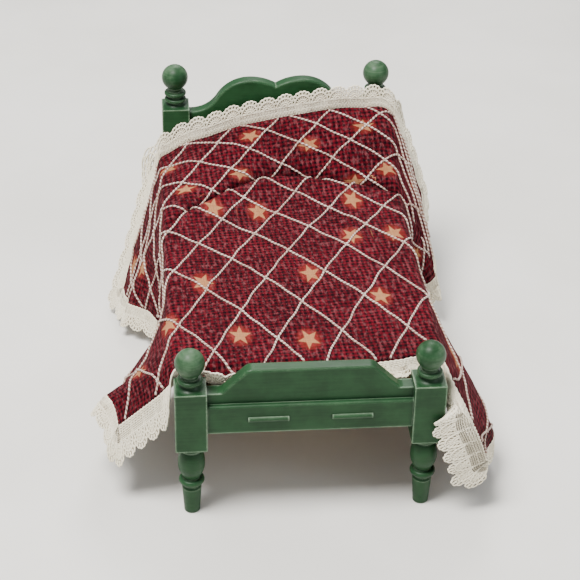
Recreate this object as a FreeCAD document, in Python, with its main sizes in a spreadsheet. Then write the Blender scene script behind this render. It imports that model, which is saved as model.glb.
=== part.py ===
"""Dolls' house bed at one twelfth scale: turned posts, shaped boards, slats and loose bedding.

Frame: the origin lies on the floor under the middle of the bed. +Y runs from the foot to the
head, +X to the right as seen from the foot, and +Z up. Every size is in millimetres.
"""
import FreeCAD, Part
import math
import os
import re
import Sketcher

os.makedirs("parts", exist_ok=True)
doc = FreeCAD.newDocument("DollsHouseBed")

# ---------------------------------------------------------------------------
# Driving dimensions
# ---------------------------------------------------------------------------
DIMENSIONS = {
    # the frame's plan
    "post_spacing_across": 76.0,
    "post_spacing_along": 148.0,
    "block_width": 10.2,
    # the turned leg that all four posts share
    "block_bottom": 27.4,
    "foot_radius": 2.6,
    "ankle_radius": 3.2,
    "ankle_height": 9.6,
    "leg_bead_height": 12.6,
    "leg_bead_radius": 4.2,
    "bead_half": 1.1,
    "neck_radius": 2.7,
    "vase_bottom": 14.6,
    "vase_waist": 2.9,
    "vase_bulge_height": 19.8,
    "vase_bulge_radius": 4.4,
    "vase_lower_arc": 8.0,
    "vase_upper_arc": 9.0,
    "vase_top": 25.0,
    "vase_neck": 3.1,
    "collar_radius": 4.5,
    "collar_thickness": 1.3,
    "shoulder_drop": 3.2,
    "shoulder_arc": 5.0,
    # the foot posts' tops
    "foot_block_top": 49.8,
    "foot_cove_height": 2.0,
    "foot_ball_radius": 4.8,
    "foot_post_height": 63.7,
    # the head posts' tops
    "head_block_top": 73.0,
    "head_cove_height": 1.6,
    "head_ball_radius": 4.9,
    "head_post_height": 89.3,
    "ring_half": 0.85,
    "ring_radius": 4.1,
    "cove_radius": 2.2,
    # the boards and the rails
    "panel_thickness": 4.8,
    "housing_depth": 2.0,
    "rail_bottom": 34.0,
    "rail_height": 10.4,
    "end_rail_thickness": 8.4,
    "side_rail_thickness": 4.6,
    "tenon_length": 3.5,
    "tenon_thickness": 2.4,
    "tenon_height": 6.0,
    "glue_gap": 0.05,
    "edge_round": 0.8,
    # the footboard's outline
    "footboard_top": 56.8,
    "footboard_flat": 18.6,
    "footboard_slope_top": 20.8,
    "footboard_slope_top_height": 55.9,
    "footboard_slope_end": 27.6,
    "footboard_slope_end_height": 49.2,
    "footboard_step": 29.6,
    "footboard_shoulder": 48.2,
    "footboard_soft_arc": 3.2,
    # the headboard's camel back
    "headboard_valley": 80.5,
    "hump_reach": 10.0,
    "hump_height": 83.2,
    "hump_inner_arc": 19.9,
    "hump_outer_arc": 14.4,
    "hump_side": 22.3,
    "hump_side_height": 76.3,
    "sweep_arc": 11.5,
    "sweep_end": 31.7,
    "headboard_shoulder": 70.8,
    # the two half-round bars on the footboard's rail
    "bar_spacing": 26.8,
    "bar_length": 13.0,
    "bar_radius": 0.9,
    # the slats and the strips that carry them
    "ledger_section": 3.0,
    "slat_thickness": 2.0,
    "slat_width": 11.0,
    "slat_count": 6,
    "slat_margin": 4.0,
    # the bedding
    "soft_gap": 0.3,
    "mattress_width": 80.0,
    "mattress_foot": -61.6,
    "mattress_head": 68.2,
    "mattress_thickness": 5.1,
    "mattress_round": 1.8,
    "pillow_width": 66.0,
    "pillow_foot": 54.8,
    "pillow_head": 67.0,
    "pillow_height": 12.4,
    "pillow_round": 1.5,
    "cloth": 1.2,
    "coverlet_half": 43.6,
    "coverlet_round": 2.4,
    "coverlet_foot": -62.8,
    "coverlet_crease": 52.0,
    "coverlet_head": 68.0,
    "foot_fall": 3.0,
    "pillow_rise": 17.6,
    "left_sag": 8.0,
    "sag_reach": 26.0,
    "lace_width": 8.5,
    "lace_thickness": 0.8,
}

sheet = doc.addObject("Spreadsheet::Sheet", "Sizes")
for row, (word, value) in enumerate(DIMENSIONS.items(), start=1):
    sheet.set("A%d" % row, word)
    sheet.set("B%d" % row, "%g" % value)
    sheet.setAlias("B%d" % row, word)
doc.recompute()


def bound(text):
    """An expression with the sheet's name put in front of each of its words."""
    return re.sub(r"[a-z_]{2,}", lambda word: "Sizes." + word.group()
                  if word.group() in DIMENSIONS else word.group(), text)


def size(text):
    """What an expression comes to with the sheet's present numbers."""
    return float(sheet.evalExpression(bound(text)))


# ---------------------------------------------------------------------------
# Sketches and features
# ---------------------------------------------------------------------------
def new_body(label, across="0", along="0", up="0"):
    """A body whose origin stands at a place worked out from the sheet."""
    body = doc.addObject("PartDesign::Body", label)
    body.Label = label
    for axis, text in zip("xyz", (across, along, up)):
        body.setExpression("Placement.Base.%s" % axis, bound(text))
    return body


def new_sketch(body, name, plane, offset="0"):
    """A sketch on one of the body's own origin planes, moved along its normal."""
    sketch = body.newObject("Sketcher::SketchObject", name)
    flat = next(f for f in body.Origin.OriginFeatures if f.Role == plane)
    sketch.AttachmentSupport = [(flat, "")]
    sketch.MapMode = "FlatFace"
    sketch.setExpression("AttachmentOffset.Base.z", bound(offset))
    return sketch


def edge_between(start, end, radius):
    """A line, or an arc when a radius is given; a positive one bends out to the edge's right."""
    if not radius:
        return Part.LineSegment(start, end), 1, 2
    chord = end - start
    half = chord.Length / 2
    right = FreeCAD.Vector(chord.y, -chord.x, 0).normalize()
    inward = math.sqrt(max(radius * radius - half * half, 0.0))
    centre = (start + end) * 0.5 - right * math.copysign(inward, radius)
    first = math.atan2(start.y - centre.y, start.x - centre.x)
    last = math.atan2(end.y - centre.y, end.x - centre.x)
    circle = Part.Circle(centre, FreeCAD.Vector(0, 0, 1), abs(radius))
    if radius > 0:
        return Part.ArcOfCircle(circle, first, last), 1, 2
    return Part.ArcOfCircle(circle, last, first), 2, 1


def draw(sketch, corners):
    """Close an outline through corners given as expressions.

    A corner is (across, up), or (across, up, radius) where the edge that leaves it is an arc.
    """
    places = [FreeCAD.Vector(size(c[0]), size(c[1]), 0) for c in corners]
    ends = []
    for index, corner in enumerate(corners):
        radius = size(corner[2]) if len(corner) > 2 else 0
        following = places[(index + 1) % len(places)]
        shape, first, last = edge_between(places[index], following, radius)
        number = sketch.addGeometry(shape, False)
        ends.append((number, first, last))
        if not radius:
            continue
        if abs((following - places[index]).Length - 2 * abs(radius)) < 1e-6:
            middle = "(%s + %s) / 2" % (corner[0], corners[(index + 1) % len(places)][0])
            rule = Sketcher.Constraint("DistanceX", -1, 1, number, 3, size(middle))
        else:
            middle = "abs(%s)" % corner[2]
            rule = Sketcher.Constraint("Radius", number, abs(radius))
        held = sketch.addConstraint(rule)
        sketch.setExpression("Constraints[%d]" % held, bound(middle))
    for index, (number, first, last) in enumerate(ends):
        before, _, before_last = ends[index - 1]
        sketch.addConstraint(Sketcher.Constraint("Coincident", before, before_last, number, first))
        for kind, text, value in (("DistanceX", corners[index][0], places[index].x),
                                  ("DistanceY", corners[index][1], places[index].y)):
            held = sketch.addConstraint(Sketcher.Constraint(kind, -1, 1, number, first, value))
            sketch.setExpression("Constraints[%d]" % held, bound(text))


def mirrored_outline(right_half):
    """The whole outline of a symmetric piece from its right half, listed from the bottom up."""
    left_half = []
    for index in range(len(right_half) - 1, -1, -1):
        corner = right_half[index]
        if corner[0] == "0":
            continue
        arriving = right_half[index - 1] if index else ()
        flipped = ("-(%s)" % corner[0], corner[1])
        left_half.append(flipped + tuple(arriving[2:3]))
    return right_half + left_half


def rectangle(sketch, low_across, high_across, low_up, high_up):
    draw(sketch, [(low_across, low_up), (high_across, low_up),
                  (high_across, high_up), (low_across, high_up)])


def pad_about(body, sketch, thickness, name):
    """A pad of which half lies on each side of its sketch."""
    pad = body.newObject("PartDesign::Pad", name)
    pad.Profile = sketch
    pad.SideType = "Symmetric"
    pad.setExpression("Length", bound(thickness))
    return pad


def pad_up(body, sketch, length, name):
    pad = body.newObject("PartDesign::Pad", name)
    pad.Profile = sketch
    pad.setExpression("Length", bound(length))
    return pad


def cut_towards(body, sketch, depth, name, backwards=False):
    """A pocket that must take material away; it runs along the sketch's back unless told."""
    doc.recompute()
    volume = body.Shape.Volume
    pocket = body.newObject("PartDesign::Pocket", name)
    pocket.Profile = sketch
    pocket.setExpression("Length", bound(depth))
    pocket.Reversed = backwards
    doc.recompute()
    if body.Shape.Volume > volume - 0.01:
        raise RuntimeError(body.Label + ": " + name + " cuts nothing")
    return pocket


def round_edges(body, base, radius, wanted, name="SoftEdges"):
    """Round the edges of the last feature that the test picks out."""
    doc.recompute()
    picked = ["Edge%d" % (n + 1) for n, edge in enumerate(base.Shape.Edges) if wanted(edge)]
    fillet = body.newObject("PartDesign::Fillet", name)
    fillet.Base = (base, picked)
    fillet.setExpression("Radius", bound(radius))
    return fillet


# ---------------------------------------------------------------------------
# The four turned posts
# ---------------------------------------------------------------------------
def ring(centre, out, rest="neck_radius"):
    """A half-round bead: it leaves the neck below its middle and returns above it."""
    return [(rest, "%s - bead_half" % centre),
            ("%s - bead_half" % out, "%s - bead_half" % centre, "bead_half"),
            ("%s - bead_half" % out, "%s + bead_half" % centre),
            (rest, "%s + bead_half" % centre)]


def leg_profile():
    """The leg from the floor to the underside of the square block."""
    foot = [("0", "0"), ("foot_radius", "0"), ("ankle_radius", "ankle_height"),
            ("neck_radius", "ankle_height + 0.9")]
    vase = [("vase_waist", "vase_bottom", "vase_lower_arc"),
            ("vase_bulge_radius", "vase_bulge_height", "vase_upper_arc"),
            ("vase_neck", "vase_top"),
            ("collar_radius", "block_bottom - collar_thickness"),
            ("collar_radius", "block_bottom")]
    return foot + ring("leg_bead_height", "leg_bead_radius") + vase


def top_profile(block_top, cove_height, ball_radius, height, rings):
    """The post above its block: a cove, one or two rings and the ball."""
    outline = [("collar_radius", block_top, "-cove_radius"),
               ("neck_radius", "%s + %s" % (block_top, cove_height))]
    for count in range(rings):
        middle = "%s + %s + ring_half * %d" % (block_top, cove_height, 1 + 3 * count)
        outline += [("neck_radius", "%s - ring_half" % middle),
                    ("ring_radius - ring_half", "%s - ring_half" % middle, "ring_half"),
                    ("ring_radius - ring_half", "%s + ring_half" % middle),
                    ("neck_radius", "%s + ring_half" % middle)]
    outline.pop(2)
    sunk = "sqrt(%s ^ 2 - neck_radius ^ 2)" % ball_radius
    outline += [("neck_radius", "%s - %s - %s" % (height, ball_radius, sunk), ball_radius),
                ("0", height)]
    return outline


def shoulder_cut(body, block_end, inward, name):
    """Turn the corners off the square block where it meets the round work."""
    sketch = new_sketch(body, name + "Profile", "XZ_Plane")
    past = ("block_width", "%s %s shoulder_drop" % (block_end, inward))
    corner = ("block_width", block_end)
    shoulder = ("collar_radius", block_end)
    if inward == "-":
        draw(sketch, [past, corner, shoulder + ("-shoulder_arc",)])
    else:
        draw(sketch, [shoulder, corner, past + ("-shoulder_arc",)])
    groove = body.newObject("PartDesign::Groove", name)
    groove.Profile = sketch
    groove.ReferenceAxis = (sketch, ["V_Axis"])
    groove.Angle = 360
    return groove


def make_post(label, side, end, names):
    """One post: turning, square block, turned shoulders, and its mortises and housing."""
    block_top, cove, ball, height, rings, panel_top = names
    body = new_body(label, "%d * post_spacing_across / 2" % side,
                    "%d * post_spacing_along / 2" % end)
    outline = new_sketch(body, "TurningProfile", "XZ_Plane")
    draw(outline, leg_profile() + top_profile(block_top, cove, ball, height, rings))
    turning = body.newObject("PartDesign::Revolution", "Turning")
    turning.Profile = outline
    turning.ReferenceAxis = (outline, ["V_Axis"])
    turning.Angle = 360
    square = new_sketch(body, "BlockSection", "XY_Plane", "block_bottom")
    rectangle(square, "-block_width / 2", "block_width / 2", "-block_width / 2",
              "block_width / 2")
    pad_up(body, square, "%s - block_bottom" % block_top, "Block")
    shoulder_cut(body, block_top, "-", "TopShoulder")
    shoulder_cut(body, "block_bottom", "+", "BottomShoulder")

    # the mortise for the end rail opens towards the other post of the pair
    low = "rail_bottom + (rail_height - tenon_height) / 2"
    high = "rail_bottom + (rail_height + tenon_height) / 2"
    inner = "%d * (block_width / 2 - %s)"
    rail_mortise = new_sketch(body, "EndRailMortise", "YZ_Plane", inner % (-side, "tenon_length"))
    rectangle(rail_mortise, "-tenon_thickness / 2", "tenon_thickness / 2", low, high)
    cut_towards(body, rail_mortise, "tenon_length", "EndRailPocket", side < 0)
    housing = new_sketch(body, "PanelHousing", "YZ_Plane", inner % (-side, "housing_depth"))
    rectangle(housing, "-panel_thickness / 2", "panel_thickness / 2",
              "rail_bottom + rail_height - housing_depth", panel_top)
    cut_towards(body, housing, "housing_depth", "PanelPocket", side < 0)
    # the side rail's mortise opens along the bed, so its plane faces the other end
    side_mortise = new_sketch(body, "SideRailMortise", "XZ_Plane", inner % (end, "tenon_length"))
    rectangle(side_mortise, "-tenon_thickness / 2", "tenon_thickness / 2", low, high)
    cut_towards(body, side_mortise, "tenon_length", "SideRailPocket", end > 0)
    return body


FOOT_POST = ("foot_block_top", "foot_cove_height", "foot_ball_radius", "foot_post_height", 1,
             "footboard_shoulder")
HEAD_POST = ("head_block_top", "head_cove_height", "head_ball_radius", "head_post_height", 2,
             "headboard_shoulder")
SIDES = (("left", -1), ("right", 1))
pieces = []
for side_name, side in SIDES:
    pieces.append(make_post("foot_post_" + side_name, side, -1, FOOT_POST))
    pieces.append(make_post("head_post_" + side_name, side, 1, HEAD_POST))


# ---------------------------------------------------------------------------
# The rails
# ---------------------------------------------------------------------------
def make_rail(label, plane, thickness, clear_length, across="0", along="0"):
    """A rail with soft long edges and a stub tenon at each end."""
    body = new_body(label, across, along)
    section = new_sketch(body, "RailSection", plane)
    rectangle(section, "-%s / 2" % thickness, "%s / 2" % thickness, "rail_bottom",
              "rail_bottom + rail_height")
    bar = pad_about(body, section, clear_length, "Rail")
    top = size("rail_bottom + rail_height")
    softened = round_edges(body, bar, "edge_round", lambda edge: edge.Length > size(
        "post_spacing_across") / 2 and abs(edge.CenterOfMass.z - top) < 0.01)
    body.Tip = softened
    tenon = new_sketch(body, "TenonSection", plane)
    rectangle(tenon, "glue_gap - tenon_thickness / 2", "tenon_thickness / 2 - glue_gap",
              "rail_bottom + (rail_height - tenon_height) / 2 + glue_gap",
              "rail_bottom + (rail_height + tenon_height) / 2 - glue_gap")
    pad_about(body, tenon, "%s + 2 * (tenon_length - glue_gap)" % clear_length, "Tenons")
    return body


def make_end_rail(label, end):
    """A rail across the bed, grooved on top for its board."""
    body = make_rail(label, "YZ_Plane", "end_rail_thickness",
                     "post_spacing_across - block_width",
                     along="%d * post_spacing_along / 2" % end)
    groove = new_sketch(body, "BoardGroove", "XY_Plane", "rail_bottom + rail_height")
    rectangle(groove, "-post_spacing_across / 2", "post_spacing_across / 2",
              "-panel_thickness / 2", "panel_thickness / 2")
    cut_towards(body, groove, "housing_depth", "BoardHousing")
    return body


pieces.append(make_end_rail("footboard_rail", -1))
pieces.append(make_end_rail("headboard_rail", 1))
for side_name, side in SIDES:
    pieces.append(make_rail("side_rail_" + side_name, "XZ_Plane", "side_rail_thickness",
                            "post_spacing_along - block_width",
                            across="%d * post_spacing_across / 2" % side))


# ---------------------------------------------------------------------------
# The shaped boards
# ---------------------------------------------------------------------------
BOARD_HALF = "(post_spacing_across - block_width) / 2 + housing_depth - glue_gap"
BOARD_BOTTOM = "rail_bottom + rail_height - housing_depth"


def make_board(label, end, right_half):
    """A board let into its rail and its two posts, with a softened upper edge."""
    body = new_body(label, along="%d * post_spacing_along / 2" % end)
    outline = new_sketch(body, "BoardOutline", "XZ_Plane")
    draw(outline, mirrored_outline(right_half))
    board = pad_about(body, outline, "panel_thickness - 2 * glue_gap", "Board")
    shoulder = size(right_half[1][1])
    clear = size("(post_spacing_across - block_width) / 2")

    def along_the_top(edge):
        low = edge.BoundBox
        flat = low.YLength < 0.01
        return flat and low.ZMin > shoulder - 0.01 and abs(edge.CenterOfMass.x) < clear - 1.0

    doc.recompute()
    body.Tip = round_edges(body, board, "edge_round", along_the_top)
    return body


pieces.append(make_board("footboard_panel", -1, [
    (BOARD_HALF, BOARD_BOTTOM),
    (BOARD_HALF, "footboard_shoulder"),
    ("footboard_step", "footboard_shoulder", "-footboard_soft_arc"),
    ("footboard_slope_end", "footboard_slope_end_height"),
    ("footboard_slope_top", "footboard_slope_top_height", "footboard_soft_arc"),
    ("footboard_flat", "footboard_top"),
]))
pieces.append(make_board("headboard_panel", 1, [
    (BOARD_HALF, BOARD_BOTTOM),
    (BOARD_HALF, "headboard_shoulder"),
    ("sweep_end", "headboard_shoulder", "-sweep_arc"),
    ("hump_side", "hump_side_height", "hump_outer_arc"),
    ("hump_reach", "hump_height", "hump_inner_arc"),
    ("0", "headboard_valley", "hump_inner_arc"),
]))


# ---------------------------------------------------------------------------
# The half-round bars on the footboard's rail
# ---------------------------------------------------------------------------
def make_bar(label, side):
    body = new_body(label, "%d * bar_spacing / 2" % side,
                    "-(post_spacing_along + end_rail_thickness) / 2",
                    "rail_bottom + rail_height / 2")
    section = new_sketch(body, "HalfRound", "YZ_Plane")
    draw(section, [("0", "bar_radius", "bar_radius"), ("0", "-bar_radius")])
    pad_about(body, section, "bar_length", "Bar")
    return body


for side_name, side in SIDES:
    pieces.append(make_bar("footboard_bar_" + side_name, side))


# ---------------------------------------------------------------------------
# The ledgers and the slats
# ---------------------------------------------------------------------------
def make_batten(label, length, width, height, corner):
    """A plain batten whose low corner stands at the given place."""
    batten = doc.addObject("Part::Box", label)
    batten.Label = label
    for name, text in (("Length", length), ("Width", width), ("Height", height)):
        batten.setExpression(name, bound(text))
    for axis, text in zip("xyz", corner):
        batten.setExpression("Placement.Base.%s" % axis, bound(text))
    return batten


RAIL_INSIDE = "(post_spacing_across - side_rail_thickness) / 2"
SLAT_BOTTOM = "rail_bottom + rail_height - slat_thickness"
for side_name, side in SIDES:
    near = "%d * %s - ledger_section * %d" % (side, RAIL_INSIDE, (side + 1) // 2)
    pieces.append(make_batten(
        "slat_ledger_" + side_name, "ledger_section", "post_spacing_along - block_width",
        "ledger_section",
        (near, "(block_width - post_spacing_along) / 2", SLAT_BOTTOM + " - ledger_section")))
slats = int(size("slat_count"))
for number in range(slats):
    first = "(end_rail_thickness - post_spacing_along) / 2 + slat_margin"
    pitch = "(post_spacing_along - end_rail_thickness - 2 * slat_margin - slat_width)"
    start = "%s + %s * %d / (slat_count - 1)" % (first, pitch, number)
    pieces.append(make_batten(
        "bed_slat_%d" % (number + 1), "2 * %s - 2 * glue_gap" % RAIL_INSIDE, "slat_width",
        "slat_thickness", ("glue_gap - " + RAIL_INSIDE, start, SLAT_BOTTOM)))


# ---------------------------------------------------------------------------
# The mattress and the pillow
# ---------------------------------------------------------------------------
def make_mattress():
    body = new_body("mattress", up="rail_bottom + rail_height + soft_gap")
    plan = new_sketch(body, "MattressPlan", "XY_Plane")
    rectangle(plan, "-mattress_width / 2", "mattress_width / 2", "mattress_foot", "mattress_head")
    pad = pad_up(body, plan, "mattress_thickness", "Mattress")
    body.Tip = round_edges(body, pad, "mattress_round", lambda edge: True)
    return body


def make_pillow():
    """A wedge of wadding that leans on the headboard."""
    body = new_body("pillow", up="rail_bottom + rail_height + mattress_thickness + 2 * soft_gap")
    profile = new_sketch(body, "PillowProfile", "YZ_Plane")
    draw(profile, [("pillow_foot", "0"), ("pillow_head", "0"), ("pillow_head", "pillow_height")])
    pad = pad_about(body, profile, "pillow_width", "Pillow")
    body.Tip = round_edges(body, pad, "pillow_round", lambda edge: True)
    return body


pieces.append(make_mattress())
pieces.append(make_pillow())


# ---------------------------------------------------------------------------
# The coverlet and its crochet edging
# ---------------------------------------------------------------------------
CLOTH = size("cloth")
HALF = size("coverlet_half")
ROUND = size("coverlet_round")
FLAT_TOP = size("rail_bottom + rail_height + mattress_thickness + 2 * soft_gap + cloth")
FOOT, CREASE, HEAD = size("coverlet_foot"), size("coverlet_crease"), size("coverlet_head")
RISE, SAG, REACH = size("pillow_rise"), size("left_sag"), size("sag_reach")

# where each hem hangs: (along the bed, left hem out and up, right hem out and up); the
# sides fall in two flaps with a tucked fold between them, further back on the right
HEMS = (
    (FOOT, 60.2, 20.0, 60.2, 20.0),
    (-30.0, 55.0, 25.0, 56.5, 23.0),
    (16.0, 51.5, 28.0, 53.0, 27.0),
    (26.0, 46.5, 33.0, 52.0, 28.0),
    (36.0, 55.5, 27.0, 46.5, 34.0),
    (46.0, 55.0, 28.0, 53.5, 29.0),
    (CREASE, 54.0, 29.5, 53.0, 30.5),
    (HEAD, 51.0, 36.0, 50.5, 37.0),
)


def point(across, along, up):
    return FreeCAD.Vector(across, along, up)


def top_heights(along):
    """The cloth's height over the left shoulder, over the pillow and over the right shoulder."""
    climb = max(0.0, (along - CREASE) / (HEAD - CREASE))
    return FLAT_TOP + (RISE - SAG) * climb, FLAT_TOP + RISE * climb


def shoulder(side, along, height, inner):
    """The rounded turn from the hanging side to the top, from its lower end inwards."""
    back = CLOTH * inner
    turn = math.sqrt(0.5)
    drop = ROUND * (1 - turn)
    return [point(side * (HALF - back), along, height - ROUND),
            point(side * (HALF - drop - back * turn), along, height - drop - back * turn),
            point(side * (HALF - ROUND), along, height - back)]


def closed(corners):
    return Part.makePolygon(corners + corners[:1])


def top_section(along):
    """The cloth that lies on the mattress and climbs the pillow, between its two shoulders."""
    left_top, top = top_heights(along)
    upper = [point(ROUND - HALF, along, left_top), point(-REACH, along, top),
             point(HALF - ROUND, along, top)]
    return closed(upper + [corner - point(0, 0, CLOTH) for corner in upper[::-1]])


def fall_section(side, along, out, up):
    """The cloth that turns over the shoulder and hangs down to its hem."""
    left_top, top = top_heights(along)
    height = left_top if side < 0 else top
    outer = shoulder(side, along, height, 0)
    inner = shoulder(side, along, height, 1)
    return closed([point(side * out, along, up)] + outer + inner[::-1]
                  + [point(side * (out - CLOTH), along, up)])


def edging_section(side, along, out, up):
    """The edging goes on from the hem in the line in which the cloth hangs."""
    left_top, top = top_heights(along)
    fall_out = out - HALF
    fall_down = (left_top if side < 0 else top) - ROUND - up
    length = math.hypot(fall_out, fall_down)
    end_out = out + LACE * fall_out / length
    end_up = up - LACE * fall_down / length
    return closed([point(side * out, along, up), point(side * end_out, along, end_up),
                   point(side * (end_out - LACE_THICK), along, end_up),
                   point(side * (out - LACE_THICK), along, up)])


def add_loft(label, sections):
    """A piece of cloth or edging lofted along the bed, which no sketched feature describes."""
    piece = doc.addObject("Part::Feature", label)
    piece.Label = label
    piece.Shape = Part.makeLoft(sections, True, True)
    pieces.append(piece)


def across_bed(corners):
    """The same outline at both sides of the bed, for a strip that runs across it."""
    return [closed([point(side * corners[0][2], along, up) for along, up, _ in corners])
            for side in (-1, 1)]


LACE, LACE_THICK = size("lace_width"), size("lace_thickness")
add_loft("coverlet_top", [top_section(along) for along in (FOOT, CREASE, HEAD)])
for side_name, side in SIDES:
    hems = [(along, lo, lu) if side < 0 else (along, ro, ru) for along, lo, lu, ro, ru in HEMS]
    add_loft("coverlet_%s_fall" % side_name, [fall_section(side, *hem) for hem in hems])
    add_loft("lace_" + side_name, [edging_section(side, *hem) for hem in hems])

# over the mattress's foot the cloth falls a little way, and its edging slants on to the rail
FALL = size("foot_fall")
FALL_HALF = HALF - ROUND
LACE_HALF = size("(post_spacing_across - block_width) / 2 - soft_gap")
LACE_LOW = size("rail_bottom + rail_height + soft_gap")
LACE_BACK = size("(panel_thickness - post_spacing_along) / 2 + soft_gap")
add_loft("coverlet_foot_fall", across_bed([
    (FOOT, FLAT_TOP, FALL_HALF), (FOOT, FLAT_TOP - FALL, FALL_HALF),
    (FOOT - CLOTH, FLAT_TOP - FALL, FALL_HALF), (FOOT - CLOTH, FLAT_TOP - CLOTH / 2, FALL_HALF)]))
add_loft("lace_foot", across_bed([
    (FOOT, FLAT_TOP - FALL, LACE_HALF), (LACE_BACK + LACE_THICK, LACE_LOW, LACE_HALF),
    (LACE_BACK, LACE_LOW, LACE_HALF), (FOOT - LACE_THICK, FLAT_TOP - FALL, LACE_HALF)]))

# at the head the edging stands up from the cloth against the board
left_top, top = top_heights(HEAD)
seam = [(-HALF, left_top), (-REACH, top), (HALF, top)]
standing = [(across, up + LACE) for across, up in seam[::-1]]
add_loft("lace_head", [closed([point(across, along, up) for across, up in seam + standing])
                       for along in (HEAD - LACE_THICK, HEAD)])

# ---------------------------------------------------------------------------
# Checks and files
# ---------------------------------------------------------------------------
doc.recompute()
for item in doc.Objects:
    if "Invalid" in item.State or "Error" in item.State:
        raise RuntimeError(item.Label + " failed: " + str(item.State))
for piece in pieces:
    shape = piece.Shape
    if shape.isNull() or not shape.isValid() or len(shape.Solids) != 1:
        raise RuntimeError(piece.Label + " isn't one sound solid")
    shape.exportStep("parts/%s.step" % piece.Label)
print(len(pieces), "pieces written")
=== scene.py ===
"""Looks of the dolls' house bed: painted turned frame, bedding, checked coverlet, crochet edging.

Lengths inside the cloth functions are millimetres in the bed's own frame (+Y to the head);
every mesh is turned into metres when it is made.
"""
import math

import bpy
import numpy as np
from mathutils import Matrix, Vector, noise


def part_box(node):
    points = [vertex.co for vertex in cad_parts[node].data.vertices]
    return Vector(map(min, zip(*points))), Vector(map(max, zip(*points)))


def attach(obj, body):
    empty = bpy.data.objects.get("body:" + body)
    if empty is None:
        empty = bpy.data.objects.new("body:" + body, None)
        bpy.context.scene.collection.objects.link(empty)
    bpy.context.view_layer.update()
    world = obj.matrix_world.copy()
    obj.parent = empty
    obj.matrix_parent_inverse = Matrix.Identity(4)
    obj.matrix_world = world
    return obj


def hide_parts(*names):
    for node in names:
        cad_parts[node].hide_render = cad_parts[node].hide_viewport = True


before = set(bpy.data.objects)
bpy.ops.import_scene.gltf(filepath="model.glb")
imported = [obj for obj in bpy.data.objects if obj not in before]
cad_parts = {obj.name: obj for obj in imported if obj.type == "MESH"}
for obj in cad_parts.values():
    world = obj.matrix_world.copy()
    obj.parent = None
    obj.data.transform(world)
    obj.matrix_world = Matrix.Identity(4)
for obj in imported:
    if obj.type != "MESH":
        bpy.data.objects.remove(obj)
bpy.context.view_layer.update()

MM = 0.001


def node_box(name):
    """A CAD node's lowest and highest corner, in millimetres."""
    low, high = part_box(name)
    return np.array(low) / MM, np.array(high) / MM


# ---------------------------------------------------------------------------
# The cloth's own sizes
# ---------------------------------------------------------------------------
SHOULDER = 43.4                 # half the width at which the cloth turns down the sides
TURN_IN = 1.6                   # how far inside the shoulder the turn begins
TURN_RADIUS = 2.6
TOP = node_box("coverlet_foot_fall")[1][2] - 0.1
FOOT_EDGE = -62.6               # where the cloth leaves the level top at the foot
BOARD_FACE = node_box("head_post_left")[0][1] - 0.7
CLOTH_HALF = 80.0
CLOTH_FOOT = -67.0
CLOTH_HEAD = 79.5
CLOTH_THICK = 0.5
SKEW = math.radians(5.0)        # the square cloth lies turned on the bed
LACE = 9.8                      # width of the edging
CORNER_EASE = 1.45              # the edging is worked fuller at the right foot corner
LEFT_EASE = 1.3                 # and a little fuller at the left one
POST_FRONT = -80.0              # just before the foot posts, where that edging turns across

# printed stars: place in the flat cut, and turn in degrees
STARS = ((-25.0, -47.0, 10), (-3.0, -52.5, 40), (25.5, -31.0, 5), (-33.0, -14.5, 62),
         (4.5, -13.5, 25), (23.5, 8.5, 50), (39.0, 8.0, 30), (-47.5, -36.5, 20),
         (-7.0, 29.5, 15), (-23.2, 32.0, 0), (28.5, 32.0, 60), (32.0, 46.0, 12),
         (44.5, 50.0, 33), (-10.5, 53.5, 45), (-31.5, 47.5, 8), (-36.0, 66.5, 22),
         (-4.0, 72.0, 55), (17.0, 64.5, 36), (38.5, 69.5, 18), (60.0, -20.0, 18),
         (66.0, 24.0, 48), (-62.0, -12.0, 5), (-58.0, 18.0, 42), (64.0, 60.0, 9),
         (-66.0, 48.0, 27), (-64.0, -50.0, 50), (50.0, -50.0, 31), (70.0, -46.0, 3),
         (-70.0, 70.0, 40))
STAR_RADIUS = 4.3
# the print is stretched across and along in three ways: on the falls, the pillow and the rest
FALL_FROM, PILLOW_FROM = 50.0, 45.0
FALL_PRINT, PILLOW_PRINT, MIDDLE_PRINT = (1.15, 1.15), (1.0, 1.35), (1.12, 0.74)
POST_X, POST_Y, BALL = 38.0, 74.0, 4.85     # post centres and the radius of their balls


def ease(x, low, high):
    """A smooth step from 0 at low to 1 at high."""
    t = np.clip((x - low) / (high - low), 0.0, 1.0)
    return t * t * (3.0 - 2.0 * t)


def bump(x, middle, width):
    return np.exp(-((x - middle) / width) ** 2)


def along_table(x, *pairs):
    """A smooth curve through a few (place, value) pairs, level beyond the first and the last."""
    places = np.array([p[0] for p in pairs], float)
    values = np.array([p[1] for p in pairs], float)
    slopes = np.gradient(values, places)
    slopes[0] = slopes[-1] = 0.0
    x = np.clip(x, places[0], places[-1])
    index = np.clip(np.searchsorted(places, x, side="right") - 1, 0, len(pairs) - 2)
    gap = places[index + 1] - places[index]
    t = (x - places[index]) / gap
    return (values[index] * (1 + 2 * t) * (1 - t) ** 2 + values[index + 1] * t * t * (3 - 2 * t)
            + gap * (slopes[index] * t * (1 - t) ** 2 - slopes[index + 1] * t * t * (1 - t)))


# ---------------------------------------------------------------------------
# How the coverlet lies: from its flat cut to the bed
# ---------------------------------------------------------------------------
def crease_line(x):
    """Where the cloth is tucked before the pillow: an arch that comes forward at the sides."""
    return 51.5 - np.where(x < 0, 29.0, 10.5) * (np.abs(x) / SHOULDER) ** 1.5


def board_height(x):
    """The seam's height where the cloth meets the headboard; it sags at the pillow's left."""
    return along_table(x, (-43.4, 54.5), (-37.6, 57.6), (-33.3, 59.8), (-26.0, 62.0),
                       (-19.0, 64.6), (-11.0, 66.9), (-2.4, 68.6), (4.8, 70.0), (12.0, 71.2),
                       (18.0, 72.1), (24.0, 72.8), (33.0, 72.8), (41.5, 72.0), (43.4, 70.6))


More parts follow.
